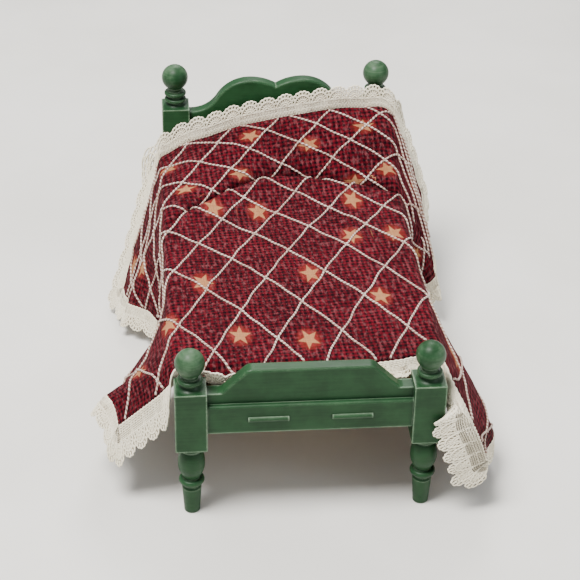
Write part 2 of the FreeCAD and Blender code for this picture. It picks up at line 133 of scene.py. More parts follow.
LEVELS = 260


def column_curve(x):
    """For places across the bed, the cloth's line along it: arc length, then along and up."""
    y = np.linspace(FOOT_EDGE, BOARD_FACE, LEVELS)[None, :] + 0.0 * x[:, None]
    crease = crease_line(x)[:, None]
    lip = 3.0 * np.clip(1.0 - (x[:, None] / SHOULDER) ** 2, 0.0, 1.0)
    climb = np.clip((y - crease) / (BOARD_FACE - crease), 0.0, 1.0)
    rise = 0.30 * climb + 0.70 * np.sin(climb * math.pi / 2) ** 0.9
    z = TOP + lip * ease(y, crease - 24.0, crease - 1.0)
    z += (board_height(x)[:, None] - TOP - lip) * rise
    z -= 2.3 * bump(y, crease - 0.3, 1.1)
    z += 0.8 * bump(y, crease - 4.5, 2.6)
    z += 0.9 * bump(y, crease + 5.0, 3.0)
    moved = y - 1.6 * bump(y, crease + 1.9, 1.8)
    step = np.hypot(np.diff(moved, axis=1), np.diff(z, axis=1))
    length = np.concatenate([np.zeros((len(x), 1)), np.cumsum(step, axis=1)], axis=1)
    return length, moved, z, y


SAMPLES = np.linspace(-SHOULDER, SHOULDER, 121)
CURVES = column_curve(SAMPLES)


def head_edge(x):
    """The flat place along the bed of the cloth's head edge, which is cut square but lies skew."""
    return x * math.tan(SKEW) + CLOTH_HEAD / math.cos(SKEW)


def over_pillow(x, flat_y):
    """0 before the tuck, 1 at the head edge."""
    crease = crease_line(np.clip(x, -SHOULDER, SHOULDER))
    return np.clip((flat_y - crease) / (head_edge(x) - crease), 0.0, 1.0)


def lie_along(x, flat_y):
    """Place and height of a point of the cloth that lies on the bed, from its flat place."""
    part_over = over_pillow(x, flat_y)
    x = np.clip(x, -SHOULDER, SHOULDER)
    column = (x + SHOULDER) / (2 * SHOULDER) * (len(SAMPLES) - 1)
    low = np.clip(column.astype(int), 0, len(SAMPLES) - 2)
    part = column - low
    crease = crease_line(x)
    result = []
    for side in (low, low + 1):
        ys, zs = np.empty_like(x), np.empty_like(x)
        for index in np.unique(side):
            chosen = side == index
            length, moved, height, level = (c[index] for c in CURVES)
            tucked = np.interp(crease[chosen], level, length)
            arc = np.interp(np.minimum(flat_y[chosen], crease[chosen]), level, length)
            arc = arc + part_over[chosen] * (length[-1] - tucked)
            ys[chosen] = np.interp(arc, length, moved)
            zs[chosen] = np.interp(arc, length, height)
        result.append((ys, zs))
    y = result[0][0] * (1 - part) + result[1][0] * part
    z = result[0][1] * (1 - part) + result[1][1] * part
    return y, z


def flare(side, y, over):
    """How far the hanging cloth leans out from upright, in radians, along each side of the bed."""
    left = along_table(y, (-70, 46), (-58, 47), (-44, 36), (-20, 8), (0, 2), (18, 3), (30, 12))
    left = left + 9.0 * ease(over, 0.0, 0.9)
    right = along_table(y, (-70, 16), (-60, 26), (-45, 28), (-22, 15), (10, 9), (30, 12), (41, 24))
    right = right - 6.0 * ease(over, 0.1, 1.0)
    return np.radians(np.where(side < 0, left, right))


def swing(side, y, over):
    """How far along the bed the cloth drifts for each millimetre that it hangs."""
    left = along_table(y, (-70, 0.22), (-50, 0.12), (-20, 0.0), (10, 0.0), (24, -0.12))
    left = left - 0.44 * ease(over, 0.0, 1.0)
    right = along_table(y, (-70, -0.88), (-60, -0.80), (-45, -0.44), (-30, -0.12), (-20, 0.0),
                        (28, 0.0), (41, -0.30))
    right = right - 0.12 * ease(over, 0.0, 1.0)
    return np.where(side < 0, left, right)


def foot_path(over, x):
    """Beyond the mattress's foot: down into the gap, then up against the footboard."""
    room = 8.3 - 2.7 * ease(np.abs(x), 30.5, 33.5)
    stations = np.array([0.0, 1.6, 4.5, 7.5, 10.5, 16.0, 24.0])
    out = np.interp(over, stations, np.array([0.0, 0.16, 0.38, 0.62, 0.90, 1.0, 1.0]))
    down = np.interp(over, stations, np.array([0.0, 0.5, 2.9, 4.7, 4.2, -0.6, -7.0]))
    return FOOT_EDGE - out * room, -down


def turned_on_bed(u, v):
    """The skew cloth's flat place measured across and along the bed, and how far past the turn."""
    x = u * math.cos(SKEW) - v * math.sin(SKEW)
    flat_y = u * math.sin(SKEW) + v * math.cos(SKEW)
    return x, flat_y, np.clip(np.abs(x) - SHOULDER + TURN_IN, 0.0, None)


def lay_cloth(u, v):
    """A point of the flat cloth as it lies on the bed; rows of x, y, z."""
    x, flat_y, hang = turned_on_bed(u, v)
    side = np.sign(x)
    over = np.clip(FOOT_EDGE - flat_y, 0.0, None)
    y, z = lie_along(x, np.maximum(flat_y, FOOT_EDGE))
    base_x = np.clip(x, -SHOULDER + TURN_IN, SHOULDER - TURN_IN)

    # the foot: the middle folds down, the corners run on and hang
    fold_y, fold_z = foot_path(over, x)
    keep = ease(np.abs(x), SHOULDER - 2.5, SHOULDER + 8.0)
    y = np.where(over > 0, fold_y * (1 - keep) + (FOOT_EDGE - over * 0.62) * keep, y)
    z = z + np.where(over > 0, fold_z * (1 - keep) - 0.55 * over * keep, 0.0)

    # the sides: a rounded shoulder, then the fall
    past_tuck = over_pillow(x, flat_y)
    lean = flare(side, y, past_tuck)
    arc = np.minimum(hang, TURN_RADIUS * (math.pi / 2 - lean))
    angle = arc / TURN_RADIUS
    rest = (hang - arc) * (1.0 - np.where(side < 0, 0.20, 0.26) * ease(-flat_y, 42.0, 68.0))
    rest = rest * (1.0 + 0.08 * ease(past_tuck, 0.2, 0.9) * (side < 0))
    reach = rest * (1.0 + 0.45 * (1.0 - np.clip(rest / 40.0, 0.0, 1.0)) * (side > 0))
    out = TURN_RADIUS * np.sin(angle) + reach * np.sin(lean)
    down = TURN_RADIUS * (1 - np.cos(angle)) + rest * np.cos(lean)
    loose = np.clip(rest / 34.0, 0.0, 1.4)
    phase = np.where(side < 0, 0.6, 2.1)
    wave = 1.7 * np.sin(y / 5.6 + phase) + 0.9 * np.sin(y / 3.1 + 2 * phase)
    out = out + wave * loose ** 1.3 * (1.0 - 0.5 * past_tuck)
    early = ease(-y, 25.0, 58.0) * (side > 0)
    drift = swing(side, y, past_tuck) * (
        rest * (1.0 - early) + 26.0 * (1.0 - np.exp(-rest / 8.0)) * early)
    return np.stack([base_x + side * out, y + drift, z - down], axis=-1)


def unit(vectors):
    return vectors / np.maximum(np.linalg.norm(vectors, axis=-1, keepdims=True), 1e-9)


def drape(u, v):
    """A point of the flat cloth, or of the edging beyond its hems, as it lies on the bed."""
    u, v = np.asarray(u, float), np.asarray(v, float)
    hem_u, hem_v = np.clip(u, -CLOTH_HALF, CLOTH_HALF), np.clip(v, CLOTH_FOOT, CLOTH_HEAD)
    place = lay_cloth(hem_u, hem_v)
    if np.all(u == hem_u) and np.all(v == hem_v):
        return place
    side = np.sign(hem_u)
    hang = turned_on_bed(hem_u, hem_v)[2]
    hanging = ease(hang, 2.0, 11.0)[..., None]

    # the foot: on into the gap behind the footboard, or free where the corner hangs
    past = np.clip(CLOTH_FOOT - v, 0.0, None)[..., None]
    on_right = (side > 0)[..., None]
    low = ease(hang, 5.0, 16.0)[..., None]
    full = past * (1.0 + (CORNER_EASE - 1.0) * low)
    forward, across = np.array([-0.22, -0.93, -0.29]), np.array([-0.93, -0.14, -0.34])
    beside = np.clip((POST_FRONT - place[..., 1:2]) / forward[1], 0.0, full)
    round_post = forward * beside + across * (full - beside)
    right_free = np.array([-0.30, -0.35, -0.88]) * past * (1 - low) + round_post * low
    free = np.where(on_right, right_free, LEFT_EASE * np.array([0.16, -0.40, -0.88]) * past)
    tucked = lay_cloth(hem_u, np.minimum(v, CLOTH_HEAD))
    at_foot = tucked * (1 - hanging) + (place + free) * hanging
    place = np.where(past > 0, at_foot, place)

    # the head: upright against the board, and turned out along the hanging edge
    past = np.clip(v - CLOTH_HEAD, 0.0, None)[..., None]
    outward = np.where(on_right, np.array([0.30, 0.92, 0.05]), np.array([-0.48, 0.66, -0.45]))
    upright = np.array([0.0, 0.03, 1.0])
    place = place + unit(upright * (1 - hanging) + outward * hanging) * past

    # the sides: straight on down
    past = np.clip(np.abs(u) - CLOTH_HALF, 0.0, None)[..., None]
    before = lay_cloth(hem_u - side * 1.2, hem_v)
    onward = unit(lay_cloth(hem_u, hem_v) - before)
    straight = 0.75 * ease(-hem_v, 35.0, 60.0) + 0.6 * ease(hem_v, 20.0, 60.0) * (side < 0)
    straight = straight[..., None]
    down = np.where(on_right, np.array([-0.10, -0.10, -0.98]), np.array([-0.42, -0.25, -0.87]))
    onward = unit(onward * (1 - straight) + down * straight)
    return place + onward * past


PUFF = 0.30                     # how far the outer face stands off the plain drape
UNEVEN = 0.8                    # and how strongly it rises and falls
NORMAL_STEP = 0.25


def ripple(points, strength):
    """Small unevenness of a hand-made cloth."""
    lift = np.empty(len(points))
    for index, (x, y, z) in enumerate(points):
        broad = noise.noise((x / 13.0, y / 15.0, z / 13.0))
        fine = noise.noise((x / 4.5 + 9.0, y / 5.5, z / 4.5))
        lift[index] = broad * 0.75 + fine * 0.25
    return lift * strength


def cloth_point(u, v):
    """The cloth's outer face, a little puffed and uneven, and the normal of the drape there."""
    u, v = np.asarray(u, float), np.asarray(v, float)
    place = drape(u, v)
    right = drape(u + NORMAL_STEP, v) - place
    up = drape(u, v + NORMAL_STEP) - place
    normal = np.cross(right, up)
    normal /= np.maximum(np.linalg.norm(normal, axis=-1, keepdims=True), 1e-9)
    uneven = ripple(place.reshape(-1, 3), UNEVEN).reshape(u.shape)
    return place + normal * (PUFF + uneven)[..., None], normal


# ---------------------------------------------------------------------------
# Finishes
# ---------------------------------------------------------------------------
def srgb(red, green, blue, alpha=1.0):
    """A colour as it is seen on a screen, 0 to 255, as a linear shader colour."""
    def linear(value):
        value /= 255.0
        return value / 12.92 if value <= 0.04045 else ((value + 0.055) / 1.055) ** 2.4
    return linear(red), linear(green), linear(blue), alpha


def put(tree, kind, inputs=None, **settings):
    """One shader node; inputs are values or the sockets that feed it."""
    made = tree.nodes.new(kind)
    for key, value in settings.items():
        setattr(made, key, value)
    for key, value in (inputs or {}).items():
        if isinstance(value, bpy.types.NodeSocket):
            tree.links.new(value, made.inputs[key])
        else:
            made.inputs[key].default_value = value
    return made


def maths(tree, operation, first, second=0.0, third=0.0):
    made = put(tree, "ShaderNodeMath", {0: first, 1: second, 2: third}, operation=operation)
    return made.outputs["Value"]


def vector_maths(tree, operation, first, second=(0.0, 0.0, 0.0)):
    made = put(tree, "ShaderNodeVectorMath", {0: first, 1: second}, operation=operation)
    return made.outputs["Value" if operation in ("DOT_PRODUCT", "LENGTH") else "Vector"]


def blend_colours(tree, share, first, second):
    """A mix of two colours; the mix node keeps its colour sockets at 6 and 7, its result at 2."""
    made = put(tree, "ShaderNodeMix", {0: share, 6: first, 7: second}, data_type="RGBA")
    return made.outputs[2]


def spread(tree, value, low, high, to_low=0.0, to_high=1.0):
    """A value from one range eased on to another."""
    made = put(tree, "ShaderNodeMapRange", {"Value": value, "From Min": low, "From Max": high,
                                            "To Min": to_low, "To Max": to_high},
               interpolation_type="SMOOTHSTEP")
    return made.outputs["Result"]


def noise_of(tree, place, scale, detail=3.0, roughness=0.55, distortion=0.0):
    made = put(tree, "ShaderNodeTexNoise", {"Vector": place, "Scale": scale, "Detail": detail,
                                            "Roughness": roughness, "Distortion": distortion})
    return made.outputs["Fac"]


def new_group(name, inputs, outputs):
    """An empty shader group with its sockets; gives the tree, its inputs and its end node."""
    tree = bpy.data.node_groups.new(name, "ShaderNodeTree")
    kinds = {"value": "NodeSocketFloat", "colour": "NodeSocketColor", "vector": "NodeSocketVector"}
    for label, kind in inputs:
        tree.interface.new_socket(label, in_out="INPUT", socket_type=kinds[kind])
    for label, kind in outputs:
        tree.interface.new_socket(label, in_out="OUTPUT", socket_type=kinds[kind])
    start, end = tree.nodes.new("NodeGroupInput"), tree.nodes.new("NodeGroupOutput")
    return tree, start.outputs, end


def use_group(tree, name, inputs):
    """A shader group placed in a material; gives its outputs by name."""
    return put(tree, "ShaderNodeGroup", inputs, node_tree=bpy.data.node_groups[name]).outputs


def build_rubbed_edges_and_shade():
    """Where time has rubbed the arrises, and painted shade in the hollows, found by ambient
    occlusion.
    """
    tree, given, end = new_group("rubbed_edges_and_shade", [("Place", "vector"), ("Width", "value"),
                                                  ("Patchiness", "value")],
                                 [("Rubbed", "value"), ("Hollow shade", "value")])
    rounded = put(tree, "ShaderNodeBevel", {"Radius": given["Width"]}, samples=6)
    true = put(tree, "ShaderNodeNewGeometry")
    facing = vector_maths(tree, "DOT_PRODUCT", rounded.outputs["Normal"],
                          true.outputs["True Normal"])
    bend = maths(tree, "SUBTRACT", 1.0, facing)
    edge = spread(tree, bend, 0.004, 0.075)
    patches = noise_of(tree, given["Place"], 260.0, 4.0, 0.65)
    broken = maths(tree, "MULTIPLY", edge, spread(tree, patches, 0.28, 0.62))
    kept = maths(tree, "SUBTRACT", 1.0, given["Patchiness"])
    whole = maths(tree, "MULTIPLY", edge, kept)
    rubbed = maths(tree, "ADD", maths(tree, "MULTIPLY", broken, given["Patchiness"]), whole)
    # painted shade: ambient occlusion marks the hollows, which the finishes darken in their colour
    shade = put(tree, "ShaderNodeAmbientOcclusion", {"Distance": 0.0022}, samples=6)
    hollow_shade = spread(tree, shade.outputs["AO"], 0.95, 0.45)
    tree.links.new(rubbed, end.inputs["Rubbed"])
    tree.links.new(hollow_shade, end.inputs["Hollow shade"])


def build_brush_strokes():
    """Streaks left by a brush or a lathe; Run is how fine they are along each axis, per metre."""
    tree, given, end = new_group("brush_strokes", [("Place", "vector"), ("Run", "vector")],
                                 [("Streak", "value"), ("Blotch", "value"), ("Height", "value")])
    along = vector_maths(tree, "MULTIPLY", given["Place"], given["Run"])
    streak = noise_of(tree, along, 1.0, 3.0, 0.6, 0.25)
    fine = noise_of(tree, vector_maths(tree, "MULTIPLY", along, (2.6, 2.6, 2.6)), 1.0, 2.0)
    blotch = noise_of(tree, given["Place"], 95.0, 4.0, 0.6)
    speck = noise_of(tree, given["Place"], 1900.0, 2.0)
    height = maths(tree, "ADD", maths(tree, "MULTIPLY", streak, 0.6),
                   maths(tree, "ADD", maths(tree, "MULTIPLY", fine, 0.3),
                         maths(tree, "MULTIPLY", speck, 0.25)))
    tree.links.new(spread(tree, streak, 0.3, 0.72), end.inputs["Streak"])
    tree.links.new(spread(tree, blotch, 0.32, 0.68), end.inputs["Blotch"])
    tree.links.new(height, end.inputs["Height"])


def build_wood_grain():
    """Straight-grained softwood; Run stretches it along the piece."""
    tree, given, end = new_group("wood_grain", [("Place", "vector"), ("Run", "vector")],
                                 [("Ring", "value"), ("Pore", "value")])
    along = vector_maths(tree, "MULTIPLY", given["Place"], given["Run"])
    bent = noise_of(tree, along, 0.35, 2.0)
    rings = put(tree, "ShaderNodeTexWave", {"Vector": along, "Scale": 0.55, "Distortion": 3.0,
                                            "Detail": 2.0, "Detail Scale": 0.6},
                wave_type="BANDS", bands_direction="DIAGONAL")
    ring = maths(tree, "MULTIPLY", rings.outputs["Fac"], spread(tree, bent, 0.2, 0.8, 0.5, 1.0))
    pore = noise_of(tree, vector_maths(tree, "MULTIPLY", along, (4.0, 4.0, 4.0)), 1.0, 3.0, 0.7)
    tree.links.new(ring, end.inputs["Ring"])
    tree.links.new(spread(tree, pore, 0.52, 0.7), end.inputs["Pore"])


def build_woven():
    """Plain weave: Flat is the place in the cloth in millimetres, Yarn the width of one thread."""
    tree, given, end = new_group("plain_weave", [("Flat", "vector"), ("Yarn", "value"),
                                                 ("Slub", "value")],
                                 [("Weft over", "value"), ("Height", "value"), ("Tone", "value"),
                                  ("Fuzz", "value")])
    wander = noise_of(tree, given["Flat"], 0.45, 2.0)
    shift = maths(tree, "MULTIPLY", maths(tree, "SUBTRACT", wander, 0.5), 0.5)
    parts = put(tree, "ShaderNodeSeparateXYZ", {"Vector": given["Flat"]})
    across = maths(tree, "DIVIDE", maths(tree, "ADD", parts.outputs["X"], shift), given["Yarn"])
    along = maths(tree, "DIVIDE", maths(tree, "ADD", parts.outputs["Y"], shift), given["Yarn"])
    warp_number, weft_number = maths(tree, "FLOOR", across), maths(tree, "FLOOR", along)
    together = maths(tree, "ADD", warp_number, weft_number)
    parity = maths(tree, "FLOORED_MODULO", together, 2.0)
    warp_in = maths(tree, "SUBTRACT", across, warp_number)
    weft_in = maths(tree, "SUBTRACT", along, weft_number)
    warp_round = maths(tree, "SINE", maths(tree, "MULTIPLY", warp_in, math.pi))
    weft_round = maths(tree, "SINE", maths(tree, "MULTIPLY", weft_in, math.pi))
    warp_high = maths(tree, "MULTIPLY", warp_round, maths(tree, "POWER", weft_round, 0.5))
    weft_high = maths(tree, "MULTIPLY", weft_round, maths(tree, "POWER", warp_round, 0.5))
    height = put(tree, "ShaderNodeMix", {0: parity, 2: warp_high, 3: weft_high}).outputs[0]
    warp_tone = put(tree, "ShaderNodeTexWhiteNoise", {"W": warp_number},
                    noise_dimensions="1D").outputs["Value"]
    weft_tone = put(tree, "ShaderNodeTexWhiteNoise", {"W": maths(tree, "ADD", weft_number, 371.0)},
                    noise_dimensions="1D").outputs["Value"]
    yarn_tone = put(tree, "ShaderNodeMix", {0: parity, 2: warp_tone, 3: weft_tone}).outputs[0]
    slub = noise_of(tree, given["Flat"], 1.4, 3.0, 0.6)
    tone = maths(tree, "ADD", maths(tree, "MULTIPLY", yarn_tone, 0.5),
                 maths(tree, "MULTIPLY", slub, 0.5))
    eased = put(tree, "ShaderNodeMix", {0: given["Slub"], 2: 0.5, 3: tone}).outputs[0]
    fuzz = noise_of(tree, given["Flat"], 9.0, 3.0, 0.7)
    tree.links.new(parity, end.inputs["Weft over"])
    tree.links.new(height, end.inputs["Height"])
    tree.links.new(eased, end.inputs["Tone"])
    tree.links.new(fuzz, end.inputs["Fuzz"])


def build_cloth_plane():
    """The place in a stuffed piece's cloth, in millimetres, by the way its side faces."""
    tree, given, end = new_group("cloth_plane", [("Place", "vector")], [("Flat", "vector")])
    true = put(tree, "ShaderNodeNewGeometry")
    facing = put(tree, "ShaderNodeSeparateXYZ",
                 {"Vector": vector_maths(tree, "ABSOLUTE", true.outputs["True Normal"])})
    place = put(tree, "ShaderNodeSeparateXYZ",
                {"Vector": vector_maths(tree, "MULTIPLY", given["Place"], (1e3, 1e3, 1e3))})
    x, y, z = (place.outputs[axis] for axis in "XYZ")
    level = maths(tree, "GREATER_THAN", facing.outputs["Z"], 0.6)
    end_on = maths(tree, "GREATER_THAN", facing.outputs["X"], facing.outputs["Y"])
    upright = put(tree, "ShaderNodeMix", {0: end_on, 2: x, 3: y}).outputs[0]
    first = put(tree, "ShaderNodeMix", {0: level, 2: upright, 3: x}).outputs[0]
    second = put(tree, "ShaderNodeMix", {0: level, 2: z, 3: y}).outputs[0]
    flat = put(tree, "ShaderNodeCombineXYZ", {"X": first, "Y": second})
    tree.links.new(flat.outputs["Vector"], end.inputs["Flat"])


def build_twisted_yarn():
    """The plies of a twisted yarn, from its own run and turn, and the down on it."""
    tree, given, end = new_group("twisted_yarn", [("Lay", "value"), ("Plies", "value")],
                                 [("Ply", "value"), ("Down", "value")])
    turn = put(tree, "ShaderNodeAttribute", attribute_name="yarn_turn")
    run = put(tree, "ShaderNodeAttribute", attribute_name="yarn_run")
    parts = put(tree, "ShaderNodeSeparateXYZ", {"Vector": turn.outputs["Vector"]})
    angle = maths(tree, "ARCTAN2", parts.outputs["Y"], parts.outputs["X"])
    travel = maths(tree, "MULTIPLY", maths(tree, "DIVIDE", run.outputs["Fac"], given["Lay"]),
                   2 * math.pi)
    wave = maths(tree, "SINE", maths(tree, "ADD", maths(tree, "MULTIPLY", angle, given["Plies"]),
                                     travel))
    ply = maths(tree, "MULTIPLY_ADD", wave, 0.5, 0.5)
    place = put(tree, "ShaderNodeTexCoord")
    down = noise_of(tree, place.outputs["Object"], 4200.0, 3.0, 0.7)
    tree.links.new(ply, end.inputs["Ply"])
    tree.links.new(down, end.inputs["Down"])


def new_material(name):
    """A material with only its surface and its output."""
    material = bpy.data.materials.new(name)
    material.use_nodes = True
    tree = material.node_tree
    tree.nodes.clear()
    surface = tree.nodes.new("ShaderNodeBsdfPrincipled")
    output = tree.nodes.new("ShaderNodeOutputMaterial")
    tree.links.new(surface.outputs["BSDF"], output.inputs["Surface"])
    return material, tree, surface


def bumped(tree, surface, height, distance, strength):
    """Fine relief, its depth in metres."""
    bump = put(tree, "ShaderNodeBump", {"Height": height, "Distance": distance,
                                        "Strength": strength})
    tree.links.new(bump.outputs["Normal"], surface.inputs["Normal"])


def knob_mask(tree, place):
    """1 on the four turned balls, which handling has left a little paler than the rest."""
    foot, head = node_box("foot_post_left"), node_box("head_post_left")
    around = vector_maths(tree, "ABSOLUTE", place)
    parts = put(tree, "ShaderNodeSeparateXYZ", {"Vector": place})
    flat = put(tree, "ShaderNodeSeparateXYZ", {"Vector": around})
    at_head = maths(tree, "GREATER_THAN", parts.outputs["Y"], 0.0)
    level = put(tree, "ShaderNodeMix", {0: at_head, 2: (foot[1][2] - BALL) * MM,
                                        3: (head[1][2] - BALL) * MM}).outputs[0]
    centre = put(tree, "ShaderNodeCombineXYZ", {"X": POST_X * MM, "Y": POST_Y * MM, "Z": level})
    here = put(tree, "ShaderNodeCombineXYZ", {"X": flat.outputs["X"], "Y": flat.outputs["Y"],
                                              "Z": parts.outputs["Z"]})
    away = vector_maths(tree, "LENGTH", vector_maths(
        tree, "SUBTRACT", here.outputs["Vector"], centre.outputs["Vector"]))
    return spread(tree, away, (BALL + 1.1) * MM, (BALL + 0.2) * MM)


def green_paint(name, run, handled=False):
    """Old satin oil paint, brushed or turned on, rubbed pale on the arrises."""
    material, tree, surface = new_material(name)
    place = put(tree, "ShaderNodeTexCoord").outputs["Object"]
    strokes = use_group(tree, "brush_strokes", {"Place": place, "Run": run})
    wear_and_shade = use_group(tree, "rubbed_edges_and_shade", {"Place": place, "Width": 0.0009, "Patchiness": 0.45})
    body = blend_colours(tree, strokes["Blotch"], srgb(17, 50, 24), srgb(29, 66, 36))
    body = blend_colours(tree, maths(tree, "MULTIPLY", strokes["Streak"], 0.35), body,
                         srgb(40, 74, 44))
    pale = blend_colours(tree, strokes["Streak"], srgb(96, 126, 98), srgb(140, 160, 134))
    rubbed = blend_colours(tree, maths(tree, "MULTIPLY", wear_and_shade["Rubbed"], 0.9), body, pale)
    if handled:
        knob = maths(tree, "MULTIPLY", knob_mask(tree, place), spread(
            tree, strokes["Blotch"], 0.0, 1.0, 0.0, 0.22))
        rubbed = blend_colours(tree, knob, rubbed, pale)
    # painted shade: the paint is darkened to a deep green in the hollows
    shaded = blend_colours(tree, maths(tree, "MULTIPLY", wear_and_shade["Hollow shade"], 0.6), rubbed,
                          srgb(16, 34, 24))
    tree.links.new(shaded, surface.inputs["Base Color"])
    tree.links.new(spread(tree, strokes["Height"], 0.3, 0.8, 0.34, 0.55),
                   surface.inputs["Roughness"])
    bumped(tree, surface, strokes["Height"], 0.00006, 0.7)
    surface.inputs["Specular IOR Level"].default_value = 0.18
    surface.inputs["Coat Weight"].default_value = 0.05
    surface.inputs["Coat Roughness"].default_value = 0.3
    return material


def bare_wood(name, run):
    """Unpainted softwood, for the slats and what carries them."""
    material, tree, surface = new_material(name)
    place = put(tree, "ShaderNodeTexCoord").outputs["Object"]
    grain = use_group(tree, "wood_grain", {"Place": place, "Run": run})
    wear_and_shade = use_group(tree, "rubbed_edges_and_shade", {"Place": place, "Width": 0.0004, "Patchiness": 0.5})
    colour = blend_colours(tree, grain["Ring"], srgb(201, 168, 122), srgb(160, 118, 74))
    colour = blend_colours(tree, maths(tree, "MULTIPLY", grain["Pore"], 0.5), colour,
                           srgb(112, 78, 46))
    # painted shade: the wood is darkened in the hollows
    colour = blend_colours(tree, maths(tree, "MULTIPLY", wear_and_shade["Hollow shade"], 0.5), colour,
                           srgb(70, 48, 30))
    tree.links.new(colour, surface.inputs["Base Color"])
    tree.links.new(spread(tree, grain["Ring"], 0.0, 1.0, 0.55, 0.75), surface.inputs["Roughness"])
    bumped(tree, surface, grain["Pore"], 0.00005, 0.5)
    return material


def homespun_check():
    """The coverlet's small dark check of two yarns, with faded stars printed on it."""
    material, tree, surface = new_material("homespun_check")
    cut = put(tree, "ShaderNodeUVMap", uv_map="flat_cut").outputs["UV"]
    flat = vector_maths(tree, "MULTIPLY", cut, (100.0, 100.0, 0.0))
    weave = use_group(tree, "plain_weave", {"Flat": flat, "Yarn": 0.30, "Slub": 1.0})
    sway = maths(tree, "MULTIPLY",
                 maths(tree, "SUBTRACT", noise_of(tree, flat, 0.16, 2.0), 0.5), 0.9)
    parts = put(tree, "ShaderNodeSeparateXYZ", {"Vector": flat})
    bands = []
    for axis in "XY":
        turns = maths(tree, "DIVIDE", maths(tree, "ADD", parts.outputs[axis], sway), CHECK)
        wave = maths(tree, "SINE", maths(tree, "MULTIPLY", turns, 2 * math.pi))
        bands.append(spread(tree, wave, -0.25, 0.15))
    band = put(tree, "ShaderNodeMix", {0: weave["Weft over"], 2: bands[0], 3: bands[1]}).outputs[0]
    both = maths(tree, "MULTIPLY", maths(tree, "ADD", bands[0], bands[1]), 0.5)
    band = put(tree, "ShaderNodeMix", {0: 0.45, 2: band, 3: both}).outputs[0]
    faded = noise_of(tree, flat, 0.06, 3.0, 0.6)
    red = blend_colours(tree, spread(tree, faded, 0.3, 0.7), srgb(78, 6, 18), srgb(106, 15, 30))
    dark = blend_colours(tree, weave["Tone"], srgb(7, 4, 7), srgb(24, 8, 15))
    cloth = blend_colours(tree, band, red, dark)
    heather = noise_of(tree, vector_maths(tree, "MULTIPLY", flat, (1.0, 0.45, 1.0)), 0.75, 3.0, 0.7)
    cloth = blend_colours(tree, spread(tree, heather, 0.47, 0.7, 0.0, 0.45), cloth,
                          srgb(144, 84, 88))
    cloth = blend_colours(tree, spread(tree, heather, 0.47, 0.3, 0.0, 0.55), cloth,
                          srgb(24, 9, 14))
    star = put(tree, "ShaderNodeAttribute", attribute_name="star_place")
    spot = put(tree, "ShaderNodeSeparateXYZ", {"Vector": star.outputs["Vector"]})
    angle = maths(tree, "ARCTAN2", spot.outputs["Y"], spot.outputs["X"])
    reach = maths(tree, "SQRT", maths(tree, "ADD", maths(tree, "POWER", spot.outputs["X"], 2.0),
                                      maths(tree, "POWER", spot.outputs["Y"], 2.0)))
    slice_angle = 2 * math.pi / 5
    folded = maths(tree, "ABSOLUTE", maths(tree, "SUBTRACT", maths(
        tree, "FLOORED_MODULO", maths(tree, "ADD", angle, slice_angle / 2), slice_angle),
        slice_angle / 2))
    point_x = maths(tree, "MULTIPLY", reach, maths(tree, "COSINE", folded))
    point_y = maths(tree, "MULTIPLY", reach, maths(tree, "SINE", folded))
    outside = maths(tree, "ADD", maths(tree, "MULTIPLY", point_x, 0.3505),
                    maths(tree, "MULTIPLY_ADD", point_y, 0.9366, -0.3505))
    ragged = maths(tree, "MULTIPLY_ADD", weave["Fuzz"], 0.16, -0.08)
    inside = spread(tree, maths(tree, "ADD", outside, ragged), 0.03, -0.05)
    glow = spread(tree, maths(tree, "ADD", reach, ragged), 1.3, 0.7)
    here = spot.outputs["Z"]
    glow = maths(tree, "MULTIPLY", maths(tree, "MULTIPLY", glow, here), 0.30)
    inside = maths(tree, "MULTIPLY", maths(tree, "MULTIPLY", inside, here), 0.86)
    cloth = blend_colours(tree, glow, cloth, srgb(168, 62, 48))
    gold = blend_colours(tree, weave["Tone"], srgb(150, 98, 66), srgb(196, 148, 104))
    cloth = blend_colours(tree, inside, cloth, gold)
    tree.links.new(cloth, surface.inputs["Base Color"])
    tree.links.new(spread(tree, weave["Fuzz"], 0.3, 0.7, 0.82, 0.96), surface.inputs["Roughness"])
    rise = maths(tree, "ADD", weave["Height"], maths(tree, "MULTIPLY", weave["Fuzz"], 0.5))
    bumped(tree, surface, rise, 0.0001, 0.9)
    surface.inputs["Sheen Weight"].default_value = 0.01
    surface.inputs["Sheen Roughness"].default_value = 0.5
    surface.inputs["Specular IOR Level"].default_value = 0.04
    return material


def plain_cloth(name, yarn, ground, thread, stripe=None):
    """Cotton for the mattress and the pillow; stripe is (colour, repeat, width) in millimetres."""
    material, tree, surface = new_material(name)
    place = put(tree, "ShaderNodeTexCoord").outputs["Object"]
    flat = use_group(tree, "cloth_plane", {"Place": place})["Flat"]
    weave = use_group(tree, "plain_weave", {"Flat": flat, "Yarn": yarn, "Slub": 0.8})
    colour = blend_colours(tree, weave["Tone"], ground, thread)
    if stripe:
        ink, repeat, width = stripe
        parts = put(tree, "ShaderNodeSeparateXYZ", {"Vector": flat})
        turns = maths(tree, "FRACT", maths(tree, "DIVIDE", parts.outputs["X"], repeat))
        off = maths(tree, "ABSOLUTE", maths(tree, "SUBTRACT", turns, 0.5))
        line = spread(tree, off, width / repeat * 0.5 + 0.02, width / repeat * 0.5 - 0.02)
        fine = maths(tree, "SUBTRACT", off, 0.3)
        thin = spread(tree, maths(tree, "ABSOLUTE", fine), 0.045, 0.02)
        marked = maths(tree, "MAXIMUM", line, thin)
        colour = blend_colours(tree, maths(tree, "MULTIPLY", marked, 0.85), colour, ink)
    aged = noise_of(tree, place, 70.0, 3.0)
    colour = blend_colours(tree, spread(tree, aged, 0.4, 0.8, 0.0, 0.35), colour,
                           srgb(176, 150, 108))
    tree.links.new(colour, surface.inputs["Base Color"])
    tree.links.new(spread(tree, weave["Fuzz"], 0.3, 0.7, 0.8, 0.95), surface.inputs["Roughness"])
    bumped(tree, surface, weave["Height"], 0.00006, 0.8)
    surface.inputs["Sheen Weight"].default_value = 0.2
    surface.inputs["Specular IOR Level"].default_value = 0.2
    return material


